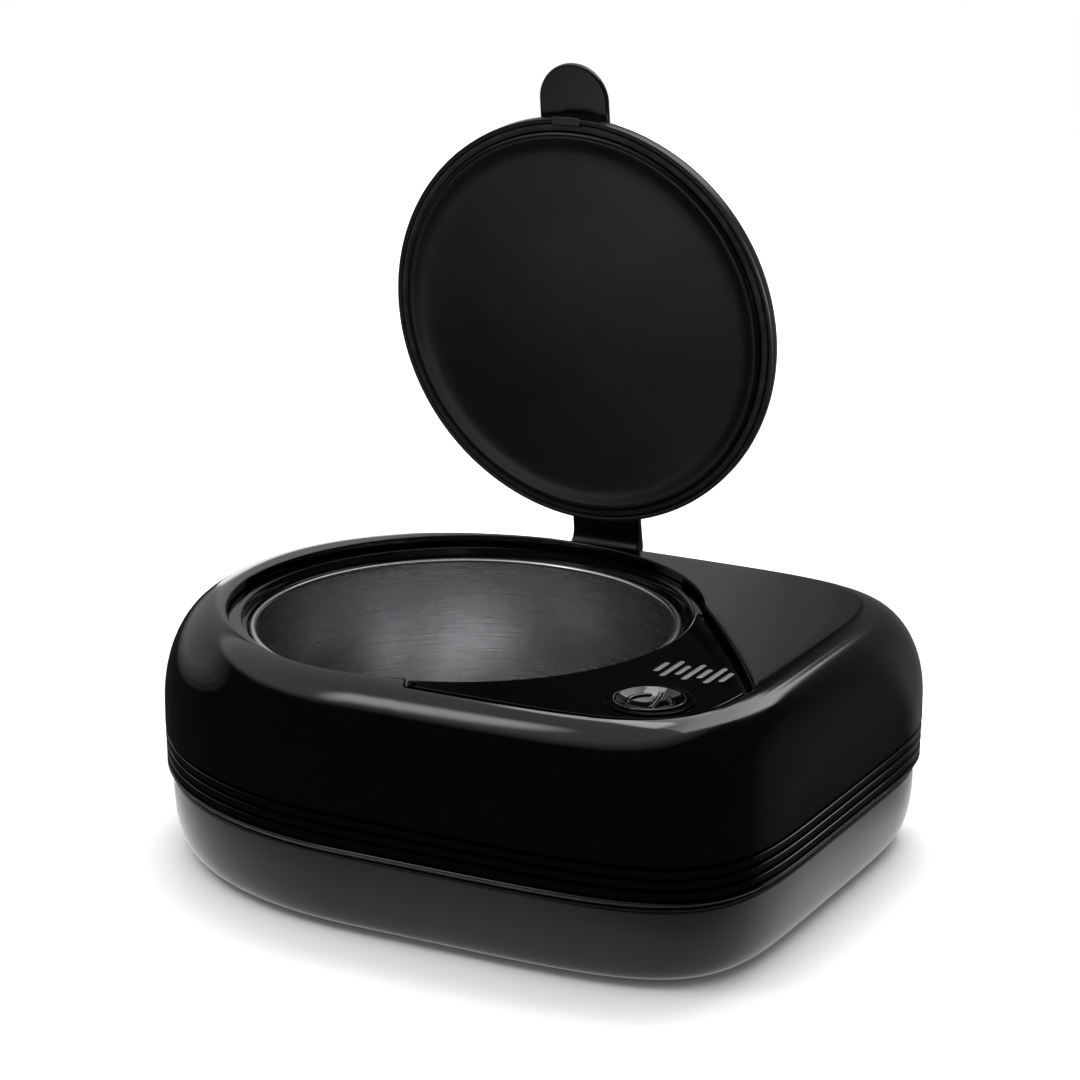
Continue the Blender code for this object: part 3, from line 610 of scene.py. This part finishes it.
def rod(name, base, radius, length, axis="Z", steps=48):
    """Cylinder used for cutting."""
    turn = {"Z": Matrix.Identity(4), "Y": Matrix.Rotation(-math.pi / 2, 4, "X")}[axis]
    bm = bmesh.new()
    bmesh.ops.create_cone(bm, cap_ends=True, segments=steps, radius1=radius, radius2=radius,
                          depth=length)
    bmesh.ops.translate(bm, vec=(0, 0, length / 2), verts=bm.verts)
    bmesh.ops.transform(bm, matrix=Matrix.Translation(base) @ turn, verts=bm.verts)
    return linked(name, to_mesh(name, bm))


def use(obj, body, slot, *nodes):
    """A finished piece rides on its body and stands for its CAD nodes."""
    if nodes:
        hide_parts(*nodes)
    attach(obj, body)
    return obj


# ---------------------------------------------------------------- outlines

def quarter(x, y, inset_x, inset_y):
    """Half axes and squareness of the footprint quarter that each direction lies in."""
    a = HALF_WIDTH - np.sign(x) * OFFSET_X - inset_x
    b = HALF_DEPTH - np.sign(y) * OFFSET_Y - inset_y
    return a, b, np.where(x >= 0, SQUARENESS_RIGHT, SQUARENESS_LEFT)


def footprint(angles, inset):
    """Points of the body's outline, inset by a distance."""
    dx, dy = np.cos(angles), np.sin(angles)
    a, b, power = quarter(dx, dy, inset, inset)
    radius = (np.abs(dx / a) ** power + np.abs(dy / b) ** power) ** (-1 / power)
    return np.stack([OFFSET_X + radius * dx, OFFSET_Y + radius * dy], axis=1)


def outside(points, inset_x, inset_y):
    """Where points lie outside the inset outline."""
    x, y = points[:, 0] - OFFSET_X, points[:, 1] - OFFSET_Y
    a, b, power = quarter(x, y, inset_x, inset_y)
    return np.abs(x / a) ** power + np.abs(y / b) ** power > 1


def inset_of(points):
    """How far in from the outline each point lies."""
    low, high = np.zeros(len(points)), np.full(len(points), 50 * MM)
    for _ in range(36):
        middle = (low + high) / 2
        out = outside(points, middle, middle)
        high = np.where(out, middle, high)
        low = np.where(out, low, middle)
    return low


def top_height(inset):
    """Height of the shell's top: a quarter ellipse up to a flat."""
    across = np.clip(1 - inset / EDGE_RUN, 0, 1)
    return TOP_Z - EDGE_DROP + EDGE_DROP * np.sqrt(1 - across ** 2)


def leaf_reach(angle):
    """Distance from the bath's axis to the edge of the control leaf."""
    toward = np.array([math.cos(angle), math.sin(angle)])
    low, high = 0.0, 100 * MM
    for _ in range(40):
        middle = (low + high) / 2
        point = np.array([[TANK_X, TANK_Y]]) + toward * middle
        if outside(point, LEAF_INSET_RIGHT, LEAF_INSET_FRONT)[0]:
            high = middle
        else:
            low = middle
    chord = LEAF_ROOT - LEAF_CORNER
    radius = chord.length_squared / (8 * LEAF_BOW)
    inward = Vector((-chord.y, chord.x)).normalized()
    centre = (LEAF_ROOT + LEAF_CORNER) / 2 + inward * (radius - LEAF_BOW)
    start = Vector((TANK_X, TANK_Y)) - centre
    along = start.x * toward[0] + start.y * toward[1]
    return min(low, math.sqrt(radius ** 2 - start.length_squared + along ** 2) - along)


def recess_outline():
    """Evenly spaced outline of the bezel recess, its corners slightly rounded."""
    corner = math.atan2(LEAF_CORNER.y - TANK_Y, LEAF_CORNER.x - TANK_X)
    root = corner
    while leaf_reach(root) > RECESS_R:
        root += math.radians(0.1)
    leaf = np.concatenate([np.linspace(LEAF_TIP, corner, 150), np.linspace(corner, root, 60)[1:]])
    reach = [leaf_reach(a) for a in leaf]
    arc = np.linspace(root, 2 * math.pi + LEAF_TIP, 300)[1:]
    angles = np.concatenate([leaf, arc, [LEAF_TIP]])
    radii = np.concatenate([reach, np.full(len(arc), RECESS_R), reach[:1]])
    path = np.stack([TANK_X + radii * np.cos(angles), TANK_Y + radii * np.sin(angles)], axis=1)
    lengths = np.concatenate([[0], np.cumsum(np.linalg.norm(np.diff(path, axis=0), axis=1))])
    even = np.linspace(0, lengths[-1], AROUND, endpoint=False)
    ring = np.stack([np.interp(even, lengths, path[:, k]) for k in (0, 1)], axis=1)
    return 0.25 * np.roll(ring, 1, axis=0) + 0.5 * ring + 0.25 * np.roll(ring, -1, axis=0)


def outward(ring):
    """Unit normals of a counter-clockwise ring of points."""
    along = np.roll(ring, -1, axis=0) - np.roll(ring, 1, axis=0)
    normal = np.stack([along[:, 1], -along[:, 0]], axis=1)
    return normal / np.linalg.norm(normal, axis=1, keepdims=True)


def at_height(ring, z):
    """Ring of plane points, given a height or one height each."""
    return np.column_stack([ring, np.broadcast_to(z, len(ring))])


RECESS = recess_outline()
RECESS_OUT = outward(RECESS)


def matching_angles():
    """Directions round the body that follow the recess outline's points, evened out."""
    angles = np.unwrap(np.arctan2(RECESS[:, 1] - OFFSET_Y, RECESS[:, 0] - OFFSET_X))
    even = angles[0] + 2 * math.pi * np.arange(AROUND) / AROUND
    drift = 0.75 * (angles - even)
    reach = 14
    window = np.hanning(2 * reach + 3)[1:-1]
    padded = np.concatenate([drift[-reach:], drift, drift[:reach]])
    return even + np.convolve(padded, window / window.sum(), mode="valid")


ANGLES = matching_angles()
RIM = footprint(ANGLES, 0.0)


# ---------------------------------------------------------------- body

def groove_rows():
    """Chamfer above the seam, then rounded ribs between V grooves."""
    rows = []
    z = GROOVES_TOP_Z - GROOVES * GROOVE - (GROOVES - 1) * RIB
    for inset, height in ((1.5 * MM, SEAM_Z), (1.35 * MM, SEAM_Z + 0.15 * MM),
                          (0.28 * MM, z - 0.35 * MM), (0.16 * MM, z - 0.12 * MM)):
        rows.append(at_height(footprint(ANGLES, inset), height))
    for index in range(GROOVES):
        proud = 0.15 * MM * (GROOVES - 1 - index) / (GROOVES - 1)
        for part, depth in ((0.0, 0.10), (0.14, 0.32), (0.38, 0.92), (0.5, 1.0), (0.62, 0.92),
                            (0.86, 0.32), (1.0, 0.08)):
            ring = footprint(ANGLES, proud + depth * GROOVE_DEPTH)
            rows.append(at_height(ring, z + part * GROOVE))
        z += GROOVE
        if index < GROOVES - 1:
            for part in (0.25, 0.5, 0.75):
                rows.append(at_height(footprint(ANGLES, proud), z + part * RIB))
            z += RIB
    return rows


def top_rows():
    """From the upright side over the rounded edge and the flat to the recess."""
    lip = RECESS + RECESS_OUT * RECESS_LIP
    reach = inset_of(lip)
    edge = np.minimum(EDGE_RUN, 0.92 * reach)
    side = np.linspace(GROOVES_TOP_Z + 0.5 * MM, TOP_Z - EDGE_DROP, 4)
    rows = [at_height(RIM, z) for z in side]
    targets = [edge * (1 - math.cos(math.pi / 2 * k / 20)) for k in range(1, 21)]
    targets += [edge + (reach - edge) * k / 5 for k in range(1, 5)]
    for inset in targets:
        low, high = np.zeros(AROUND), np.ones(AROUND)
        for _ in range(36):
            middle = (low + high) / 2
            points = RIM + (lip - RIM) * middle[:, None]
            out = outside(points, inset, inset)
            low = np.where(out, middle, low)
            high = np.where(out, high, middle)
        points = RIM + (lip - RIM) * low[:, None]
        rows.append(at_height(points, top_height(inset)))
    return rows


def recess_rows():
    """Rounded lip, recess wall and ledge, then back under the roof to the seam."""
    lip = RECESS_LIP
    top = top_height(inset_of(RECESS + RECESS_OUT * lip))
    rows = []
    for k in range(6):
        turn = math.pi / 2 * k / 5
        height = np.maximum(top - lip * (1 - math.cos(turn)), LEDGE_Z + 0.2 * MM)
        rows.append(at_height(RECESS + RECESS_OUT * lip * (1 - math.sin(turn)), height))
    rows.append(at_height(RECESS, LEDGE_Z))
    rows.append(at_height(RECESS - RECESS_OUT * 1.3 * MM, LEDGE_Z))
    rows.append(at_height(RECESS - RECESS_OUT * LEDGE_WIDTH, LEDGE_Z - 0.2 * MM))
    rows.append(at_height(RECESS - RECESS_OUT * LEDGE_WIDTH, ROOF_Z))
    at_hinge = (np.abs(RIM[:, 0] - NECK_X) < NECK_WIDTH / 2 + 4.6 * MM) & (RIM[:, 1] > 0)
    rings = [(RECESS - RECESS_OUT * 0.4 * MM, ROOF_Z)]
    rings += [(footprint(ANGLES, inset * MM), z)
              for inset, z in ((5.2, 41.0 * MM), (2.6, 34.0 * MM), (2.6, SEAM_Z))]
    for ring, z in rings:
        rows.append(at_height(ring, np.where(at_hinge, min(z, HINGE_BLOCK_Z), z)))
    return rows


def upper_shell(mat):
    """Gloss shell with the slot for the lid's arm."""
    shell = skin("housing_shell", groove_rows() + top_rows() + recess_rows(), mat, loop=True)
    half = NECK_WIDTH / 2 + SLOT_CLEARANCE
    slot = block("slot", (NECK_X - half, SLOT_FRONT_Y, SLOT_FLOOR_Z),
                 (NECK_X + half, PAST_THE_SHELL, PAST_THE_SHELL))
    carve(shell, slot)
    return use(shell, "housing", "gloss_black", "upper_housing")


def lower_tray(mat):
    """Tray whose sides curve in to a flat base with recesses for feet, screws and plate."""
    bottom, top = TRAY_LO[2], SEAM_Z - 0.3 * MM
    rows = [at_height(footprint(ANGLES, 3.2 * MM), top),
            at_height(footprint(ANGLES, 1.45 * MM), top),
            at_height(footprint(ANGLES, 1.2 * MM), top - 0.25 * MM)]
    for k in range(1, 25):
        turn = math.pi / 2 * k / 24
        inset = 1.2 * MM + 5.0 * MM * (1 - math.cos(turn) ** 0.77)
        height = top - (top - bottom) * math.sin(turn) ** 0.77
        rows.append(at_height(footprint(ANGLES, inset), min(height, top - 0.3 * MM)))
    rows += [at_height(footprint(ANGLES, i * MM), z * MM) for i, z in ((7.8, 3.0), (4.4, 6.0))]
    outer, inner = rows[:-2], rows[-2:]
    tray = skin("base_tray", [inner[0], inner[1]] + outer, mat, caps=(True, True))
    cutters = []
    for index in range(1, 5):
        low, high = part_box(f"foot_{index}")
        centre = ((low[0] + high[0]) / 2, (low[1] + high[1]) / 2, -1 * MM)
        cutters.append(rod("foot_recess", centre, 5.3 * MM, 2.9 * MM, steps=64))
        low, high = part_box(f"housing_screw_{index}")
        centre = ((low[0] + high[0]) / 2, (low[1] + high[1]) / 2, -1 * MM)
        cutters.append(rod("counterbore", centre, 2.6 * MM, 18 * MM))
    low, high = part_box("dc_jack_pin")
    jack = ((low[0] + high[0]) / 2, 45 * MM, (low[2] + high[2]) / 2)
    cutters.append(rod("jack_hole", jack, 3.6 * MM, 20 * MM, axis="Y"))
    grow = 0.4 * MM
    cutters.append(block("plate_recess", (PLATE_LO[0] - grow, PLATE_LO[1] - grow, -MM),
                         (PLATE_HI[0] + grow, PLATE_HI[1] + grow, 1.9 * MM)))
    carve(tray, *cutters)
    return use(tray, "housing", "satin_grey", "lower_housing")


def bezel(mat):
    """Sunken leaf, flat and mirror-like, with stepped ring down to the bath's lip."""
    centre = np.array([TANK_X, TANK_Y])
    toward = RECESS - centre
    reach = np.linalg.norm(toward, axis=1, keepdims=True)
    toward = toward / reach
    leaf = np.clip((reach[:, 0] - RECESS_R - 0.1 * MM) / (0.5 * MM), 0, 1)
    top = (BEZEL_RING_Z + LEAF_STEP * leaf) * MM
    edge = RECESS - RECESS_OUT * 0.22 * MM
    rebate = RECESS_OUT * (RING_GAP + LEAF_GAP * leaf[:, None]) * MM
    rows = [at_height(edge, 46.0 * MM), at_height(edge, REBATE_Z * MM)]
    rows += [at_height(edge - rebate * part, REBATE_Z * MM) for part in (0.3, 0.7, 1.0)]
    for inset, drop in ((0.02, 0.14), (0.05, 0.05), (0.12, 0.0)):
        rows.append(at_height(edge - rebate - RECESS_OUT * inset * MM, top - drop * MM))
    for radius, drop in ((44.7, 0.0), (44.4, 0.02), (44.24, 0.12), (44.17, 0.4)):
        height = np.maximum(top - drop * MM, BEZEL_RING_Z * MM)
        rows.append(at_height(centre + toward * radius * MM, height))
    profile = [(44.1, 46.62), (44.0, 46.6), (43.75, 46.6), (43.3, 46.6), (43.08, 46.55),
               (43.0, 46.35), (42.92, 45.2), (42.85, 44.98), (42.6, 44.92), (42.15, 44.92),
               (42.0, 44.85), (41.95, 44.6), (41.95, 44.2), (43.9, 44.2), (43.9, 46.0)]
    for radius, z in profile:
        rows.append(at_height(centre + toward * radius * MM, z * MM))
    plate = skin("control_panel", rows, mat, loop=True)
    cutters = [rod("button_hole", (BUTTON_X, BUTTON_Y, 40 * MM), BUTTON_HOLE_R, 20 * MM, steps=96)]
    for x, y, length in bar_places():
        half_x, half_y = BAR_WIDTH / 2 + BAR_CLEARANCE, length / 2 + BAR_CLEARANCE
        cutters.append(stadium("bar_hole", x, y, half_x, half_y, 40 * MM, 50 * MM))
    carve(plate, *cutters)
    return use(plate, "housing", "gloss_black", "control_bezel")


# ---------------------------------------------------------------- controls

def bar_places():
    """Centre and length of each light bar: short and long in turn."""
    for index in range(BARS):
        yield BARS_X + (index - (BARS - 1) / 2) * BAR_PITCH, BARS_Y, BAR_LENGTHS[index % 2]


def stadium_ring(x, y, half_x, half_y, steps=16):
    """Outline of a slot with round ends, long along Y."""
    ring = []
    for k in range(2 * steps):
        turn = math.pi * (k + 0.5) / steps
        shift = (half_y - half_x) * (1 if turn < math.pi else -1)
        ring.append((x + half_x * math.cos(turn), y + shift + half_x * math.sin(turn)))
    return np.array(ring)


def stadium(name, x, y, half_x, half_y, low, high):
    """Slot-shaped block used for cutting."""
    ring = stadium_ring(x, y, half_x, half_y)
    return skin(name, [at_height(ring, low), at_height(ring, high)], None, caps=(True, True))


def light_bars(mat):
    """Bars with rounded tops that stand flush in the leaf, on their common guide."""
    pieces = []
    for x, y, length in bar_places():
        rows = []
        for inset, z in ((0.0, 45.2), (0.0, 47.3), (0.04, 47.39), (0.12, 47.44), (0.3, 47.46)):
            ring = stadium_ring(x, y, BAR_WIDTH / 2 - inset * MM, length / 2 - inset * MM)
            rows.append(at_height(ring, z * MM))
        pieces.append(skin("bar", rows, mat, caps=(True, True)))
    corners = ((37.2, -20.9), (52.6, -20.9), (52.6, -13.5), (50.0, -9.6), (37.2, -9.6))
    plate = slab("guide_plate", [(x * MM, y * MM) for x, y in corners], 44.7 * MM, 45.7 * MM, mat)
    pieces.append(apply_modifiers(plate))
    return use(merge("light_bars", pieces), "housing", "light_guide", "indicator_lens")


def merge(name, pieces):
    """Several meshes as one object."""
    bm = bmesh.new()
    for piece in pieces:
        bm.from_mesh(piece.data)
    mesh = to_mesh(name, bm)
    mesh.materials.append(pieces[0].data.materials[0])
    for piece in pieces:
        bpy.data.objects.remove(piece, do_unlink=True)
    mesh.shade_smooth()
    mesh.set_sharp_from_angle(angle=math.radians(SHARP))
    return linked(name, mesh)


def symbol_height(x, y):
    """Raised power sign on the cap: an open ring and an upright bar, both rounded."""
    radius, angle = np.hypot(x, y), np.arctan2(y, x)
    gap = np.abs(np.arctan2(np.sin(angle - math.pi / 2), np.cos(angle - math.pi / 2)))
    ring = np.abs(radius - SIGN_R) + np.maximum(0, math.radians(26) - gap) * SIGN_R
    bar = np.hypot(x, y - np.clip(y, 0.2, 4.6))
    rise = np.clip(1 - (np.minimum(ring, bar) / SIGN_HALF_WIDTH) ** 2, 0, 1)
    return SIGN_HEIGHT * np.sqrt(rise)


def button_cap(mat):
    """Bowl-shaped cap with a thin rim and the power sign moulded into the bowl."""
    steps = 240
    turn = np.linspace(0, 2 * math.pi, steps, endpoint=False)
    rows = []
    for radius in np.linspace(0.0, BOWL_R, 96):
        x, y = radius * np.cos(turn), radius * np.sin(turn)
        z = BOWL_Z + BOWL_DEPTH * (radius / BOWL_R) ** 1.8 + symbol_height(x, y)
        rows.append(np.column_stack([BUTTON_X + x * MM, BUTTON_Y + y * MM, z * MM]))
    for radius, z in ((6.0, 48.15), (6.1, 48.2), (6.2, 48.22), (6.35, 48.19), (6.5, 48.1),
                      (6.58, 47.95), (6.6, 47.5), (6.6, 45.4), (7.3, 45.4), (7.3, 44.7),
                      (2.0, 44.7), (2.0, 44.4), (0.0, 44.4)):
        x, y = radius * np.cos(turn), radius * np.sin(turn)
        rows.append(np.column_stack([BUTTON_X + x * MM, BUTTON_Y + y * MM,
                                     np.full(steps, z * MM)]))
    return use(skin("power_cap", rows, mat, sharp=60), "button", "gloss_black", "power_button")


def button_ring(mat):
    """Thin collar with a flange that covers the hole's edge."""
    profile = [(6.95, 45.9), (6.95, 47.78), (6.97, 47.83), (7.02, 47.86), (7.2, 47.87),
               (7.6, 47.87), (7.92, 47.87), (7.98, 47.85), (8.0, 47.8), (7.98, 47.78),
               (7.45, 47.7), (7.45, 45.9), (6.95, 45.9)]
    ring = lathe("power_ring", profile, mat, (BUTTON_X, BUTTON_Y), 120)
    return use(ring, "housing", "gloss_black", "button_ring")


# ---------------------------------------------------------------- bath

def bath(mat):
    """Drawn bath: flat floor, generous corner, upright wall with a rolled lip."""
    floor_z, sheet = 13.4, 0.7
    corner, lip = 5.0, 0.75
    profile = [(0.0, floor_z), (10, floor_z), (20, floor_z), (30, floor_z)]
    for k in range(11):
        turn = math.pi / 2 * k / 10
        profile.append((33.6 + corner * math.sin(turn), floor_z + corner * (1 - math.cos(turn))))
    profile += [(38.9, 25.0), (39.3, 31.0), (39.75, 38.0), (40.05, 42.6)]
    for k in range(13):
        turn = math.pi * k / 12
        profile.append((40.9 - lip * math.cos(turn), 44.2 + lip * math.sin(turn)))
    profile += [(41.65, 43.4), (41.8, 43.1), (42.1, 43.0), (44.6, 43.0), (44.6, 42.3),
                (41.2, 42.2), (40.75, 41.9), (39.3, 18.2), (38.4, 15.0), (36.6, 13.2),
                (33.6, floor_z - sheet), (0.0, floor_z - sheet)]
    return use(lathe("bath", profile, mat, steps=200), "housing", "stainless", "tank")


# ---------------------------------------------------------------- lid

def open_lid(obj):
    """Turn a piece drawn shut about the hinge into the rest pose."""
    hinge = Vector((0, HINGE_Y, HINGE_Z))
    turn = Matrix.Rotation(LID_ANGLE, 4, "X")
    obj.data.transform(Matrix.Translation(hinge) @ turn @ Matrix.Translation(-hinge))
    obj.data.update()
    return obj


def lid_cover(mat):
    """Gloss dome of the lid, down to the top of its rim."""
    profile = [(0, 51.0), (10, 50.97), (18, 50.9), (25, 50.78), (31, 50.6), (35.5, 50.4),
               (38, 50.22), (39.6, 49.98), (40.6, 49.7), (41.3, 49.25), (41.8, 48.7), (42.1, 48.1),
               (42.24, 47.5), (42.24, 47.0), (41.2, 47.0), (41.2, 47.7), (40.6, 48.2),
               (39.6, 48.7), (34, 49.1), (0, 49.6)]
    cover = lathe("lid_cover", profile, mat, steps=LID_STEPS)
    return use(open_lid(cover), "lid", "gloss_black", "lid_shell")


def lid_rim(mat):
    """Satin lower edge of the dome, with a rounded nose."""
    profile = [(42.24, 47.5), (42.27, 47.0), (42.27, 46.1), (42.2, 45.8), (42.02, 45.64),
               (41.8, 45.6), (41.5, 45.62), (41.3, 45.75), (41.2, 46.0), (41.2, 47.3)]
    rim = lathe("lid_rim", profile, mat, steps=LID_STEPS)
    return use(open_lid(rim), "lid", "gloss_black")


def lid_arm(mat):
    """Hinge arm: flat strap from the lid that bends down round the knuckle."""
    outline = [(38.9, 49.2), (40.9, 48.8), (44.6, 48.8), (45.6, 48.72), (46.3, 48.5),
               (46.9, 48.12), (47.35, 47.62), (47.65, 47.1), (47.85, 46.6)]
    y0, z0 = HINGE_Y / MM, HINGE_Z / MM
    for degrees in range(120, 361, 7):
        angle = math.radians(degrees)
        outline.append((y0 + KNUCKLE_R * math.cos(angle), z0 + KNUCKLE_R * math.sin(angle)))
    for degrees in range(8, 91, 6):                     # quarter oval over the bend
        angle = math.radians(degrees)
        outline.append((47.1 + 5.95 * math.cos(angle), 44.0 + 6.87 * math.sin(angle)))
    outline.append((38.9, 50.28))
    arm = slab("lid_arm", [(y * MM, z * MM) for y, z in outline], NECK_X - NECK_WIDTH / 2,
               NECK_X + NECK_WIDTH / 2, mat, bevel=0.5 * MM, axis="X")
    return use(open_lid(apply_modifiers(arm)), "lid", "gloss_black")


def lid_tab(mat):
    """Thumb tab with a round end."""
    radius = TAB_WIDTH / 2
    round_y = TANK_Y - (TAB_REACH - radius)
    outline = [(TAB_X + radius, TANK_Y - 36 * MM), (TAB_X - radius, TANK_Y - 36 * MM)]
    for step in range(49):
        angle = math.pi + math.pi * step / 48
        outline.append((TAB_X + radius * math.cos(angle), round_y + radius * math.sin(angle)))
    tab = slab("lid_tab", outline, 48.75 * MM, 50.1 * MM, mat, bevel=0.45 * MM)
    return use(open_lid(apply_modifiers(tab)), "lid", "gloss_black")


def lid_catch(mat):
    """Small catch under the tab, curved with the rim."""
    outer, inner, half = 42.6 * MM, 40.9 * MM, 3.2 * MM
    outline = []
    for radius, start in ((outer, -half), (inner, half)):
        for x in np.linspace(start, -start, 13):
            y = TANK_Y - math.sqrt(radius ** 2 - (TAB_X - TANK_X + x) ** 2)
            outline.append((TAB_X + x, y))
    catch = slab("lid_catch", outline, 45.25 * MM, 47.0 * MM, mat, bevel=0.25 * MM)
    return use(open_lid(apply_modifiers(catch)), "lid", "gloss_black")


def lid_liner(mat):
    """Satin plug inside the lid: flat dished face with a soft raised border."""
    profile = [(0, 45.9), (12, 45.88), (22, 45.83), (30, 45.76), (33.5, 45.7), (35.3, 45.6),
               (36.3, 45.46), (37.1, 45.24), (37.8, 44.97), (38.3, 44.8), (38.7, 44.74),
               (39.1, 44.8), (39.4, 44.98), (39.58, 45.25), (39.65, 45.6), (39.65, 48.2),
               (38.4, 48.2), (38.4, 46.9), (0, 46.9)]
    liner = lathe("lid_inner", profile, mat, steps=LID_STEPS)
    return use(open_lid(liner), "lid", "satin_black", "lid_liner")


def lid_seal(mat):
    """Round-nosed ring between the liner and the rim."""
    profile = [(41.12, 47.3), (41.12, 45.9), (41.0, 45.62), (40.75, 45.45), (40.42, 45.38),
               (40.1, 45.45), (39.85, 45.62), (39.75, 45.9), (39.75, 47.3), (41.12, 47.3)]
    seal = lathe("lid_gasket", profile, mat, steps=200)
    return use(open_lid(seal), "lid", "silicone", "lid_seal")


# ---------------------------------------------------------------- everything together

def repaint(materials):
    """CAD nodes that stay in view or inside take procedural materials."""
    for part in frame["record"]["subparts"]:
        obj = frame["nodes"].get(part["node"])
        if obj is None:
            continue
        mat = materials[part["material_slot"]]
        if not obj.material_slots:
            obj.data.materials.append(mat)
        for slot in obj.material_slots:
            slot.material = mat


def main():
    camera()
    studio()
    floor()
    materials = {
        "gloss_black": gloss_plastic("gloss_black_fine"),
        "satin_black": satin_plastic("satin_black_fine", (0.0014, 0.0014, 0.0015), 0.30, 0.38,
                                     0.05, 3200),
        "satin_grey": satin_plastic("satin_grey_fine", (0.004, 0.004, 0.0042), 0.36, 0.46,
                                    0.12, bloom=0.8),
        "stainless": drawn_steel("stainless_fine"),
        "silicone": soft_rubber("silicone_fine", (0.010, 0.010, 0.010)),
        "rubber": soft_rubber("rubber_fine"),
        "light_guide": frosted_guide("light_guide_fine"),
        "steel": plated_steel("steel_fine"),
        "aluminium": aluminium("aluminium_fine"),
        "copper": wound_copper("copper_fine"),
        "board_green": circuit_board("board_green_fine"),
        "piezo_ceramic": mottled("piezo_fine", (0.50, 0.48, 0.42), (0.58, 0.56, 0.50), 0.45, 0.65),
        "epoxy": mottled("epoxy_fine", (0.33, 0.25, 0.09), (0.40, 0.31, 0.13), 0.25, 0.45),
        "ferrite": mottled("ferrite_fine", (0.04, 0.04, 0.045), (0.07, 0.07, 0.075), 0.5, 0.7),
        "capacitor_sleeve": mottled("sleeve_fine", (0.03, 0.05, 0.16), (0.04, 0.06, 0.19),
                                    0.25, 0.4),
        "wire_red": mottled("wire_red_fine", (0.42, 0.02, 0.02), (0.50, 0.03, 0.03), 0.35, 0.5),
        "wire_black": mottled("wire_black_fine", (0.015, 0.015, 0.015), (0.03, 0.03, 0.03),
                              0.35, 0.5),
        "label_silver": mottled("label_fine", (0.40, 0.40, 0.41), (0.50, 0.50, 0.51),
                                0.35, 0.55, 0.6),
    }
    repaint(materials)
    gloss, satin = materials["gloss_black"], materials["satin_black"]
    # Painted shade: the hinge arm takes a darker copy of the lid's satin black for the shadow it
    # lies in, not a finish of its own.
    satin_painted_shade = satin_plastic("satin_arm_painted_shade", (0.0004, 0.0004, 0.0004), 0.36, 0.44, 0.05, 3200)
    upper_shell(gloss)
    lower_tray(materials["satin_grey"])
    bezel(gloss)
    light_bars(materials["light_guide"])
    button_cap(gloss)
    button_ring(gloss)
    bath(materials["stainless"])
    lid_cover(gloss)
    lid_rim(satin)
    lid_arm(satin_painted_shade)
    lid_tab(satin)
    lid_catch(satin)
    lid_liner(satin)
    lid_seal(materials["silicone"])
    link_lights()


main()
bpy.context.view_layer.update()
